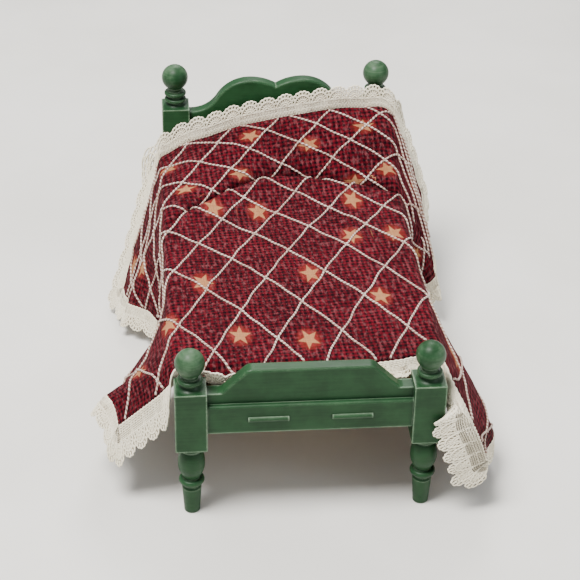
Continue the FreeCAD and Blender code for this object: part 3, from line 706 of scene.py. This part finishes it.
def yarn_cotton(name, pale, groove_shade_and_age, lay, plies):
    """Thick twisted cotton, for the crochet and for the couched cord."""
    material, tree, surface = new_material(name)
    yarn = use_group(tree, "twisted_yarn", {"Lay": lay, "Plies": plies})
    place = put(tree, "ShaderNodeTexCoord").outputs["Object"]
    wear_and_shade = use_group(tree, "rubbed_edges_and_shade", {"Place": place, "Width": 0.0002, "Patchiness": 0.2})
    aged = noise_of(tree, place, 110.0, 3.0)
    # painted shade: the grooves between the plies take the darker colour, the ply crests the paler
    # one
    colour = blend_colours(tree, maths(tree, "MULTIPLY", yarn["Ply"], 0.7), groove_shade_and_age, pale)
    colour = blend_colours(tree, spread(tree, aged, 0.35, 0.75, 0.0, 0.5), colour, groove_shade_and_age)
    # painted shade: the yarn is darkened in the hollows between threads
    colour = blend_colours(tree, maths(tree, "MULTIPLY", wear_and_shade["Hollow shade"], 0.55), colour,
                           srgb(150, 130, 104))
    tree.links.new(colour, surface.inputs["Base Color"])
    tree.links.new(spread(tree, yarn["Down"], 0.3, 0.7, 0.78, 0.95), surface.inputs["Roughness"])
    rise = maths(tree, "ADD", yarn["Ply"], maths(tree, "MULTIPLY", yarn["Down"], 0.4))
    bumped(tree, surface, rise, 0.00008, 0.8)
    surface.inputs["Sheen Weight"].default_value = 0.1
    surface.inputs["Specular IOR Level"].default_value = 0.2
    return material


def pale_floor():
    material, tree, surface = new_material("pale_floor")
    place = put(tree, "ShaderNodeTexCoord").outputs["Object"]
    tone = noise_of(tree, place, 12.0, 3.0)
    colour = blend_colours(tree, spread(tree, tone, 0.3, 0.7), srgb(222, 220, 214),
                           srgb(230, 228, 223))
    tree.links.new(colour, surface.inputs["Base Color"])
    surface.inputs["Roughness"].default_value = 0.8
    return material


CHECK = 1.8                     # one repeat of the coverlet's check
CORD_LAY = 1.5                  # one turn of the couched cord
for build in (build_rubbed_edges_and_shade, build_brush_strokes, build_wood_grain, build_woven,
              build_cloth_plane, build_twisted_yarn):
    build()

MATERIALS = {
    "paint_turned": green_paint("green_paint_turned", (70.0, 70.0, 1500.0), True),
    "paint_across": green_paint("green_paint_across", (70.0, 1300.0, 1300.0)),
    "paint_along": green_paint("green_paint_along", (1300.0, 70.0, 1300.0)),
    "wood_across": bare_wood("bare_wood_across", (40.0, 900.0, 900.0)),
    "wood_along": bare_wood("bare_wood_along", (900.0, 40.0, 900.0)),
    "homespun": homespun_check(),
    "ticking": plain_cloth("mattress_ticking", 0.34, srgb(214, 203, 178), srgb(232, 224, 204),
                           (srgb(72, 86, 110), 4.2, 0.9)),
    "pillow": plain_cloth("pillow_cotton", 0.3, srgb(222, 214, 194), srgb(238, 232, 216)),
    # the second colour of each yarn is the painted shade in the grooves of its twist, and also the
    # tone it darkens to in patches
    "crochet_cotton": yarn_cotton("crochet_cotton", srgb(254, 250, 234), srgb(238, 229, 202),
                                  0.0011, 2.0),
    "couching_cord": yarn_cotton("couching_cord", srgb(255, 246, 236), srgb(128, 84, 72),
                                 CORD_LAY * MM, 1.0),
    "ticking_cord": yarn_cotton("ticking_cord", srgb(206, 196, 172), srgb(170, 158, 132),
                                0.0012, 2.0),
    "floor": pale_floor(),
}


# ---------------------------------------------------------------------------
# Meshes
# ---------------------------------------------------------------------------
CLOTH_STEP = 0.85               # between the coverlet mesh's points in the flat cut


def new_piece(name, points, faces):
    """A smooth-shaded piece from points in millimetres."""
    mesh = bpy.data.meshes.new(name)
    mesh.from_pydata([tuple(p) for p in np.asarray(points) * MM], [], faces)
    mesh.update()
    mesh.polygons.foreach_set("use_smooth", np.ones(len(mesh.polygons), bool))
    piece = bpy.data.objects.new(name, mesh)
    bpy.context.scene.collection.objects.link(piece)
    return piece


def closed_grid(name, top, bottom):
    """A closed pad from two grids of points with the same edge count, joined round the rim."""
    rows, columns = top.shape[:2]
    count = rows * columns
    number = np.arange(count).reshape(rows, columns)
    a, b = number[:-1, :-1].ravel(), number[:-1, 1:].ravel()
    c, d = number[1:, 1:].ravel(), number[1:, :-1].ravel()
    faces = list(zip(a, b, c, d)) + list(zip(d + count, c + count, b + count, a + count))
    rim = np.concatenate([number[0, :], number[1:, -1], number[-1, -2::-1], number[-2:0:-1, 0]])
    following = np.roll(rim, -1)
    faces += list(zip(following, rim, rim + count, following + count))
    faces = [tuple(int(i) for i in face) for face in faces]
    return new_piece(name, np.concatenate([top.reshape(-1, 3), bottom.reshape(-1, 3)]), faces)


def star_places(flat):
    """Each point's place in its nearest star, where 1 is the tips; z fades out beyond it."""
    nearest = np.zeros((len(flat), 3))
    best = np.full(len(flat), 1e9)
    for star_u, star_v, turned in STARS:
        offset = flat - np.array([star_u, star_v])
        if abs(star_u) > FALL_FROM:
            offset *= FALL_PRINT
        else:
            offset *= PILLOW_PRINT if star_v > PILLOW_FROM else MIDDLE_PRINT
        away = np.hypot(offset[:, 0], offset[:, 1])
        spin = math.radians(turned)
        local_u = offset[:, 0] * math.cos(spin) + offset[:, 1] * math.sin(spin)
        local_v = offset[:, 1] * math.cos(spin) - offset[:, 0] * math.sin(spin)
        closer = away < best
        best = np.where(closer, away, best)
        nearest[closer, 0] = local_u[closer] / STAR_RADIUS
        nearest[closer, 1] = local_v[closer] / STAR_RADIUS
    nearest[:, 2] = 1.0 - ease(best, STAR_RADIUS * 1.7, STAR_RADIUS * 2.1)
    return nearest


def make_coverlet():
    """The draped cloth, with its flat cut as a UV map and its stars as an attribute."""
    across = np.linspace(-CLOTH_HALF, CLOTH_HALF, int(2 * CLOTH_HALF / CLOTH_STEP) + 1)
    along = np.linspace(CLOTH_FOOT, CLOTH_HEAD, int((CLOTH_HEAD - CLOTH_FOOT) / CLOTH_STEP) + 1)
    u, v = np.meshgrid(across, along)
    outer, normal = cloth_point(u, v)
    piece = closed_grid("coverlet_cloth", outer, outer - normal * CLOTH_THICK)

    flat = np.concatenate([np.stack([u.ravel(), v.ravel()], axis=1)] * 2)
    layer = piece.data.uv_layers.new(name="flat_cut")
    loops = np.empty(len(piece.data.loops), int)
    piece.data.loops.foreach_get("vertex_index", loops)
    layer.data.foreach_set("uv", (flat[loops] * 0.01).astype(np.float32).ravel())

    places = piece.data.attributes.new("star_place", "FLOAT_VECTOR", "POINT")
    places.data.foreach_set("vector", star_places(flat).astype(np.float32).ravel())
    return piece


def strands(name, lines, yarn, sides=5):
    """Threads: polylines turned into closed round tubes by one geometry node tree."""
    points, edges, thick = [], [], []
    for line, radius in lines:
        start = len(points)
        points.extend(tuple(p * MM) for p in line)
        edges.extend((start + i, start + i + 1) for i in range(len(line) - 1))
        thick.extend(np.broadcast_to(radius, len(line)) * MM)
    mesh = bpy.data.meshes.new(name)
    mesh.from_pydata(points, edges, [])
    layer = mesh.attributes.new("thread_radius", "FLOAT", "POINT")
    layer.data.foreach_set("value", np.array(thick, np.float32))
    piece = bpy.data.objects.new(name, mesh)
    bpy.context.scene.collection.objects.link(piece)
    tree = thread_tree()
    modifier = piece.modifiers.new("threads", "NODES")
    modifier.node_group = tree
    inputs = {item.name: item.identifier for item in tree.interface.items_tree
              if item.item_type == "SOCKET" and item.in_out == "INPUT"}
    modifier[inputs["Fullness"]] = 1.0
    modifier[inputs["Sides"]] = sides
    modifier[inputs["Yarn"]] = yarn
    return flatten(piece)


def flatten(piece):
    """Take a piece's evaluated shape as its plain mesh and drop its modifiers."""
    bpy.context.view_layer.update()
    graph = bpy.context.evaluated_depsgraph_get()
    mesh = bpy.data.meshes.new_from_object(piece.evaluated_get(graph), depsgraph=graph)
    piece.modifiers.clear()
    piece.data = mesh
    return piece


def thread_tree():
    """The geometry node tree that turns lines into threads, with the turn and run of the yarn."""
    tree = bpy.data.node_groups.get("round_threads")
    if tree:
        return tree
    tree = bpy.data.node_groups.new("round_threads", "GeometryNodeTree")
    face = tree.interface
    face.new_socket("Geometry", in_out="INPUT", socket_type="NodeSocketGeometry")
    fullness = face.new_socket("Fullness", in_out="INPUT", socket_type="NodeSocketFloat")
    fullness.default_value = 1.0
    sides = face.new_socket("Sides", in_out="INPUT", socket_type="NodeSocketInt")
    sides.default_value = 5
    face.new_socket("Yarn", in_out="INPUT", socket_type="NodeSocketMaterial")
    face.new_socket("Geometry", in_out="OUTPUT", socket_type="NodeSocketGeometry")
    make, link = tree.nodes.new, tree.links.new
    start, end = make("NodeGroupInput"), make("NodeGroupOutput")
    curve = make("GeometryNodeMeshToCurve")
    radius = make("GeometryNodeInputNamedAttribute")
    radius.data_type = "FLOAT"
    radius.inputs["Name"].default_value = "thread_radius"
    scaled = make("ShaderNodeMath")
    scaled.operation = "MULTIPLY"
    ring = make("GeometryNodeCurvePrimitiveCircle")
    ring.inputs["Radius"].default_value = 1.0
    tube = make("GeometryNodeCurveToMesh")
    tube.inputs["Fill Caps"].default_value = True
    smooth = make("GeometryNodeSetShadeSmooth")
    turn, run = make("GeometryNodeStoreNamedAttribute"), make("GeometryNodeStoreNamedAttribute")
    turn.data_type, run.data_type = "FLOAT_VECTOR", "FLOAT"
    turn.inputs["Name"].default_value, run.inputs["Name"].default_value = "yarn_turn", "yarn_run"
    where, travelled = make("GeometryNodeInputPosition"), make("GeometryNodeSplineParameter")
    real = make("GeometryNodeRealizeInstances")
    finish = make("GeometryNodeSetMaterial")
    link(start.outputs["Geometry"], curve.inputs["Mesh"])
    link(curve.outputs["Curve"], run.inputs["Geometry"])
    link(travelled.outputs["Length"], run.inputs["Value"])
    link(radius.outputs["Attribute"], scaled.inputs[0])
    link(start.outputs["Fullness"], scaled.inputs[1])
    link(start.outputs["Sides"], ring.inputs["Resolution"])
    link(run.outputs["Geometry"], tube.inputs["Curve"])
    link(ring.outputs["Curve"], turn.inputs["Geometry"])
    link(where.outputs["Position"], turn.inputs["Value"])
    link(turn.outputs["Geometry"], tube.inputs["Profile Curve"])
    link(scaled.outputs["Value"], tube.inputs["Scale"])
    link(tube.outputs["Mesh"], smooth.inputs["Geometry"])
    link(smooth.outputs["Geometry"], real.inputs["Geometry"])
    link(real.outputs["Geometry"], finish.inputs["Geometry"])
    link(start.outputs["Yarn"], finish.inputs["Material"])
    link(finish.outputs["Geometry"], end.inputs["Geometry"])
    return tree


def on_cloth(flat, lift):
    """Flat points carried on to the draped cloth, lifted off its surface."""
    place, normal = cloth_point(flat[:, 0], flat[:, 1])
    return place + normal * np.asarray(lift).reshape(-1, 1)


# ---------------------------------------------------------------------------
# The couched lattice
# ---------------------------------------------------------------------------
CORD_RADIUS = 0.36
CORD_STEP = 0.3


def laid_knot(a, b):
    """Where cords cross in the flat cut; a counts across from the middle, b along from the foot.

    The constants are a least-squares fit to 35 measured crossings, rounded.
    """
    u = -1.3 + 10.67 * a + 0.71 * b - 0.154 * a * b - 0.149 * b ** 2
    v = -30.7 + 18.26 * b - 1.04 * b ** 2 + 0.0325 * b ** 3 + 0.835 * a - 0.297 * a ** 2
    return np.stack([u, v], axis=1)


def within_hems(flat, margin):
    """Which flat places are inside the cloth's hems by a margin."""
    return ((np.abs(flat[:, 0]) < CLOTH_HALF - margin) & (flat[:, 1] > CLOTH_FOOT + margin)
            & (flat[:, 1] < CLOTH_HEAD - margin))


def couched_lines():
    """Lines through the knots in two directions, evenly stepped and cut at the hems."""
    lines = []
    b = np.linspace(-4.0, 13.0, 700)
    for start in range(-22, 24, 2):
        for a in (start + b, start - b):
            flat = laid_knot(a, b)
            flat = flat[within_hems(flat, 0.4) & (np.abs(a) < 9.5)]
            if len(flat) < 12:
                continue
            travel = np.concatenate([[0.0], np.cumsum(np.hypot(*np.diff(flat, axis=0).T))])
            even = np.arange(0.0, travel[-1], CORD_STEP)
            if len(even) > 12:
                lines.append(np.stack([np.interp(even, travel, flat[:, 0]),
                                       np.interp(even, travel, flat[:, 1])], axis=1))
    return lines


def crossings():
    """The flat places where two cords cross and are stitched down."""
    counts = np.array([(a, b) for a in range(-9, 10) for b in range(-3, 13) if (a + b) % 2 == 0])
    flat = laid_knot(counts[:, 0], counts[:, 1])
    return flat[within_hems(flat, 1.5)]


def make_lattice():
    """The couched cords, wandering a little, and the stitches where they cross."""
    threads = []
    for number, flat in enumerate(couched_lines()):
        travel = np.arange(len(flat)) * CORD_STEP
        heading = np.gradient(flat, axis=0)
        across = unit(np.stack([heading[:, 1], -heading[:, 0]], axis=1))
        wander = 0.20 * np.sin(travel / 3.7 + number) + 0.12 * np.sin(travel / 1.9 + 2.3 * number)
        flat = flat + across * wander[:, None]
        lift = CORD_RADIUS * 0.55 + 0.05 * np.sin(travel / 1.3 + number)
        rope = 1.0 + 0.13 * np.sin(travel * 2 * math.pi / CORD_LAY)
        threads.append((on_cloth(flat, lift), CORD_RADIUS * rope))
    for flat in crossings():
        flat = flat + np.array([[-0.35, 0.0], [0.35, 0.0]])
        threads.append((on_cloth(flat, CORD_RADIUS * 1.5), CORD_RADIUS))
    return strands("couched_lattice", threads, MATERIALS["couching_cord"], 7)


# ---------------------------------------------------------------------------
# The crochet edging
# ---------------------------------------------------------------------------
FAN_WIDTH = 6.7
FAN_BASE = 3.3
MOTIF_DEPTH = 8.0


def arc_line(middle, radius, first, last, squash=1.0):
    turns = np.radians(np.linspace(first, last, max(4, int(abs(last - first) / 14))))
    return np.stack([middle[0] + radius * np.cos(turns),
                     middle[1] + radius * squash * np.sin(turns)], axis=1)


def fan_motif():
    """One fan of the edging, as flat lines of (along, out) with a thread radius and a lift."""
    width = FAN_WIDTH
    middle = (width / 2, FAN_BASE)
    lines = []
    for row in (0.2, 0.68, 1.16, 1.64):
        along = np.linspace(0.0, width, 19)
        wave = 0.10 * np.sin(along * 2 * math.pi / width * 4 + row * 2)
        lines.append((np.stack([along, row + wave], axis=1), 0.42, 0.0))
    bars = 12
    zigzag = np.array([(width * i / bars, 0.2 if i % 2 else 1.65) for i in range(bars + 1)])
    lines.append((zigzag, 0.26, 0.2))
    trellis = np.array([(width * i / bars, 1.65 if i % 2 else FAN_BASE) for i in range(bars + 1)])
    lines.append((trellis, 0.40, 0.0))
    for row in (2.1, 2.5, 2.9):
        lines.append((np.array([[0.0, row], [width / 2, row], [width, row]]), 0.27, 0.1))
    along = np.linspace(0.0, width, 15)
    lines.append((np.stack([along, np.full(15, FAN_BASE)], axis=1), 0.40, 0.05))
    spokes = np.linspace(8.0, 172.0, 9)
    for turn in spokes:
        heading = np.array([math.cos(math.radians(turn)), math.sin(math.radians(turn))])
        lines.append((np.array(middle) + heading * np.array([[0.5], [1.8], [3.0]]), 0.36, 0.0))
    lines.append((arc_line(middle, 0.85, 0, 180), 0.42, 0.08))
    lines.append((arc_line(middle, 1.55, 0, 180), 0.34, 0.08))
    lines.append((arc_line(middle, 2.95, -8, 188), 0.40, 0.08))
    for first, last in zip(spokes[:-1], spokes[1:]):
        heading = math.radians((first + last) / 2)
        loop = (middle[0] + 3.45 * math.cos(heading), middle[1] + 3.45 * math.sin(heading))
        start = math.degrees(heading) - 118
        lines.append((arc_line(loop, 0.78, start, start + 236), 0.34, 0.0))
    return lines


def edging_lines(lay, length):
    """Fans side by side along a hem; lay turns (along, out) into a place in the flat cut."""
    fans = max(1, round(length / FAN_WIDTH))
    pitch = length / fans
    lines = []
    for fan in range(fans):
        for flat, radius, lift in fan_motif():
            along = fan * pitch + flat[:, 0] * pitch / FAN_WIDTH
            lines.append((lay(along, flat[:, 1] * LACE / MOTIF_DEPTH), radius, lift))
    return lines


def edging(name, lines):
    """The flat lines of one run laid on the cloth all together, then made threads."""
    flat = np.concatenate([line for line, _, _ in lines])
    lift = np.concatenate([np.full(len(line), lift - CLOTH_THICK / 2) for line, _, lift in lines])
    placed = on_cloth(flat, lift)
    threads, start = [], 0
    for line, radius, _ in lines:
        threads.append((placed[start:start + len(line)], radius))
        start += len(line)
    return strands(name, threads, MATERIALS["crochet_cotton"], 5)


def round_corner(corner_u, corner_v, first_turn):
    """The edging spreads like a hand round a corner of the cloth."""
    sweep = LACE * math.pi / 2

    def lay(along, out):
        turn = first_turn + along / sweep * math.pi / 2
        return np.stack([corner_u + out * np.cos(turn), corner_v + out * np.sin(turn)], axis=1)
    return lay, sweep


def along_hem(start, heading, outward):
    """The edging laid straight along a hem."""
    start, heading, outward = (np.array(a, float) for a in (start, heading, outward))

    def lay(along, out):
        return start + along[:, None] * heading + out[:, None] * outward
    return lay


def make_edging():
    """The four runs of edging, each with one corner of the cloth."""
    tall, wide = CLOTH_HEAD - CLOTH_FOOT, 2 * CLOTH_HALF
    runs = {
        "lace_edging_foot": ((-CLOTH_HALF, CLOTH_FOOT), (1, 0), (0, -1), wide,
                             (CLOTH_HALF, CLOTH_FOOT), -math.pi / 2),
        "lace_edging_right": ((CLOTH_HALF, CLOTH_FOOT), (0, 1), (1, 0), tall,
                              (CLOTH_HALF, CLOTH_HEAD), 0.0),
        "lace_edging_head": ((CLOTH_HALF, CLOTH_HEAD), (-1, 0), (0, 1), wide,
                             (-CLOTH_HALF, CLOTH_HEAD), math.pi / 2),
        "lace_edging_left": ((-CLOTH_HALF, CLOTH_HEAD), (0, -1), (-1, 0), tall,
                             (-CLOTH_HALF, CLOTH_FOOT), math.pi),
    }
    made = []
    for name, (start, heading, outward, length, corner, first_turn) in runs.items():
        lay, sweep = round_corner(*corner, first_turn)
        lines = edging_lines(along_hem(start, heading, outward), length)
        made.append(edging(name, lines + edging_lines(lay, sweep)))
    return made


# ---------------------------------------------------------------------------
# Mattress and pillow
# ---------------------------------------------------------------------------
SIM_SCALE = 10.0                # the cloth simulation is run on a pad this many times larger
STUFFING_FRAMES = 20


def stuffed(piece, voxel, pressure, reach, low, high):
    """Fill a pad by cloth simulation at a larger scale, its movement capped in millimetres."""
    mesh = piece.data
    mesh.transform(Matrix.Scale(SIM_SCALE, 4))
    remesh = piece.modifiers.new("even", "REMESH")
    remesh.mode, remesh.voxel_size = "VOXEL", voxel * MM * SIM_SCALE
    flatten(piece)
    before = np.empty(len(piece.data.vertices) * 3, np.float32)
    piece.data.vertices.foreach_get("co", before)
    before = before.reshape(-1, 3)
    after = before
    cloth = piece.modifiers.new("stuffing", "CLOTH")
    cloth.settings.use_pressure = True
    cloth.settings.uniform_pressure_force = pressure
    cloth.settings.quality = 5
    cloth.settings.effector_weights.gravity = 0.0
    cloth.point_cache.frame_start, cloth.point_cache.frame_end = 1, STUFFING_FRAMES
    for moment in range(1, STUFFING_FRAMES + 1):
        bpy.context.scene.frame_set(moment)
    flatten(piece)
    bpy.context.scene.frame_set(1)
    after = np.empty(len(piece.data.vertices) * 3, np.float32)
    piece.data.vertices.foreach_get("co", after)
    after = after.reshape(-1, 3)
    moved = after - before
    travel = np.linalg.norm(moved, axis=1, keepdims=True)
    moved *= np.minimum(1.0, reach * MM * SIM_SCALE / np.maximum(travel, 1e-9))
    place = (before + moved) / SIM_SCALE
    place = np.clip(place, np.array(low) * MM, np.array(high) * MM)
    piece.data.vertices.foreach_set("co", place.astype(np.float32).ravel())
    piece.data.update()
    finer = piece.modifiers.new("finer", "SUBSURF")
    finer.levels = finer.render_levels = 1
    flatten(piece)
    piece.data.polygons.foreach_set("use_smooth", np.ones(len(piece.data.polygons), bool))
    return piece


def plump(u, v, power=0.42):
    """How full a pad is, 0 at its seams and 1 in the middle; u and v run from -1 to 1."""
    return (np.clip(1 - u ** 2, 0, 1) ** power) * (np.clip(1 - v ** 2, 0, 1) ** power)


def make_mattress():
    """A thin ticking pad, a little fuller in the middle."""
    low, high = node_box("mattress")
    middle, half = (low + high) / 2, (high - low) / 2 - np.array([0.5, 0.5, 0.0])
    u, v = np.meshgrid(np.linspace(-1, 1, 61), np.linspace(-1, 1, 99))
    corner = 1 - 0.045 * np.abs(u * v) ** 8
    x, y = middle[0] + half[0] * u * corner, middle[1] + half[1] * v * corner
    swell = plump(u, v, 0.16)
    top = np.stack([x, y, middle[2] + 0.9 + (half[2] - 1.3) * swell], axis=-1)
    bottom = np.stack([x, y, middle[2] - 0.9 - (half[2] - 0.95) * swell], axis=-1)
    pad = closed_grid("mattress_pad", top, bottom)
    pad = stuffed(pad, 1.25, 3.0, 0.45, low, high - np.array([0, 0, 0.1]))
    pad.data.materials.append(MATERIALS["ticking"])
    return pad


def make_mattress_piping():
    """A corded seam round the top edge and the bottom edge of the mattress."""
    low, high = node_box("mattress")
    threads = []
    for height in (high[2] - 1.25, low[2] + 1.25):
        corners = rounded_loop(low[0] + 0.75, high[0] - 0.75, low[1] + 0.75, high[1] - 0.75, 3.0)
        line = np.concatenate([corners, np.full((len(corners), 1), height)], axis=1)
        threads.append((line, 0.34))
    return strands("mattress_piping", threads, MATERIALS["ticking_cord"], 8)


def rounded_loop(left, right, near, far, radius):
    """A closed rounded rectangle of points, its end on its start."""
    points = []
    for cx, cy, first in ((right - radius, far - radius, 0),
                          (left + radius, far - radius, 90),
                          (left + radius, near + radius, 180),
                          (right - radius, near + radius, 270)):
        for turn in np.radians(np.linspace(first, first + 90, 9)):
            points.append((cx + radius * math.cos(turn), cy + radius * math.sin(turn)))
    points.append(points[0])
    return np.array(points)


def surface_over(x, y):
    """The cloth's height above places on the bed."""
    column = np.rint((x + SHOULDER) / (2 * SHOULDER) * (len(SAMPLES) - 1)).astype(int)
    height = np.empty_like(x)
    for index in np.unique(column):
        chosen = column == index
        _, moved, level, _ = (c[index] for c in CURVES)
        order = np.argsort(moved)
        height[chosen] = np.interp(y[chosen], moved[order], level[order])
    return height


def make_pillow():
    """A soft pillow as full as the coverlet over it leaves room for."""
    low, high = node_box("pillow")
    u, v = np.meshgrid(np.linspace(-1, 1, 67), np.linspace(-1, 1, 21))
    x = u * (high[0] - 0.8)
    y = (low[1] + high[1]) / 2 + v * ((high[1] - low[1]) / 2 - 0.4)
    over = surface_over(x, y) - CLOTH_THICK - 0.9
    under = np.full_like(x, low[2] + 0.4)
    full = plump(u, v, 0.30)
    room = np.clip(np.minimum(over, high[2] - 0.2) - under, 0.6, None)
    top = np.stack([x, y, under + 1.0 + (room - 1.4) * full], axis=-1)
    bottom = np.stack([x, y, under + 0.7 - 0.5 * full], axis=-1)
    pad = closed_grid("pillow_pad", top, bottom)
    pad = stuffed(pad, 0.8, 3.5, 0.4, low, high)
    pad.data.materials.append(MATERIALS["pillow"])
    return pad


# ---------------------------------------------------------------------------
# Putting it together
# ---------------------------------------------------------------------------
def finish_frame():
    """The frame's own nodes keep their shape and get paint or bare wood."""
    across = ("footboard_panel", "footboard_rail", "headboard_panel", "headboard_rail")
    for name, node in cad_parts.items():
        if name.startswith("bed_slat"):
            chosen = "wood_across"
        elif name.startswith("slat_ledger"):
            chosen = "wood_along"
        elif name.startswith("side_rail"):
            chosen = "paint_along"
        elif name in across:
            chosen = "paint_across"
        elif "post" in name or "bar" in name:
            chosen = "paint_turned"
        else:
            continue
        node.data.materials.clear()
        node.data.materials.append(MATERIALS[chosen])


finish_frame()
mattress, pillow = make_mattress(), make_pillow()
piping = make_mattress_piping()
coverlet = make_coverlet()
coverlet.data.materials.append(MATERIALS["homespun"])
lattice = make_lattice()
edgings = make_edging()

for piece, body, finish in [(mattress, "mattress", "ticking"), (piping, "mattress", "ticking"),
                            (pillow, "pillow", "pillow_cotton"),
                            (coverlet, "coverlet", "homespun"),
                            (lattice, "coverlet", "crochet_lace")] + [
                                (edge, "coverlet", "crochet_lace") for edge in edgings]:
    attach(piece, body)
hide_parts("mattress")
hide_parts("pillow")
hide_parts("coverlet_top", "coverlet_left_fall", "coverlet_right_fall",
            "coverlet_foot_fall")
for edge in edgings:
    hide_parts(edge.name.replace("_edging", ""))


# ---------------------------------------------------------------------------
# Floor, light and camera
# ---------------------------------------------------------------------------
def make_floor():
    """A plain pale floor, well past what the camera sees."""
    mesh = bpy.data.meshes.new("studio_floor")
    size, count = 1.6, 9
    steps = np.linspace(-size, size, count)
    points = [(x, y, -0.0002) for y in steps for x in steps]
    faces = [(r * count + c, r * count + c + 1, (r + 1) * count + c + 1, (r + 1) * count + c)
             for r in range(count - 1) for c in range(count - 1)]
    mesh.from_pydata(points, [], faces)
    floor = bpy.data.objects.new("studio_floor", mesh)
    bpy.context.scene.collection.objects.link(floor)
    mesh.materials.append(MATERIALS["floor"])


def aim(thing, place, target, up):
    """Point a lamp or the camera from one place at another."""
    ahead = (Vector(target) - Vector(place)).normalized()
    right = ahead.cross(Vector(up)).normalized()
    upward = right.cross(ahead)
    turn = Matrix((right, upward, -ahead)).transposed()
    thing.matrix_world = Matrix.Translation(place) @ turn.to_4x4()


def soft_lamp(name, place, target, size, power, tint):
    lamp = bpy.data.lights.new(name, "AREA")
    lamp.shape, lamp.size, lamp.energy, lamp.color = "DISK", size, power, tint
    holder = bpy.data.objects.new(name, lamp)
    bpy.context.scene.collection.objects.link(holder)
    aim(holder, place, target, (0.0, 0.0, 1.0))


def make_studio():
    """A pale room with one broad light overhead, a weak one at the right and one behind."""
    world = bpy.data.worlds.new("pale_room")
    world.use_nodes = True
    world.node_tree.nodes["Background"].inputs["Color"].default_value = (0.86, 0.88, 0.92, 1.0)
    world.node_tree.nodes["Background"].inputs["Strength"].default_value = 0.55
    bpy.context.scene.world = world
    middle = (0.0, 0.0, 0.045)
    soft_lamp("window_key", (-0.26, -0.20, 0.82), middle, 0.35, 15.5, (1.0, 0.98, 0.95))
    soft_lamp("right_fill", (0.65, -0.35, 0.40), middle, 0.5, 1.6, (0.96, 0.98, 1.0))
    soft_lamp("top_back", (0.10, 0.55, 0.65), middle, 0.35, 4.5, (1.0, 0.98, 0.95))


CAMERA_PLACE = (-0.04838, -0.50597, 0.37156)
CAMERA_TARGET = (0.0, 0.0, 0.036)
CAMERA_UP = (0.02265, 0.45487, 0.89027)
CAMERA_LENS, CAMERA_SENSOR = 106.0, 36.0


def make_camera():
    """Standing at the foot of the bed, a little to the left and looking down."""
    camera = bpy.data.cameras.new("room_camera")
    camera.lens, camera.sensor_width = CAMERA_LENS, CAMERA_SENSOR
    holder = bpy.data.objects.new("room_camera", camera)
    bpy.context.scene.collection.objects.link(holder)
    aim(holder, CAMERA_PLACE, CAMERA_TARGET, CAMERA_UP)
    bpy.context.scene.camera = holder


make_floor()
make_studio()
make_camera()

bpy.context.view_layer.update()
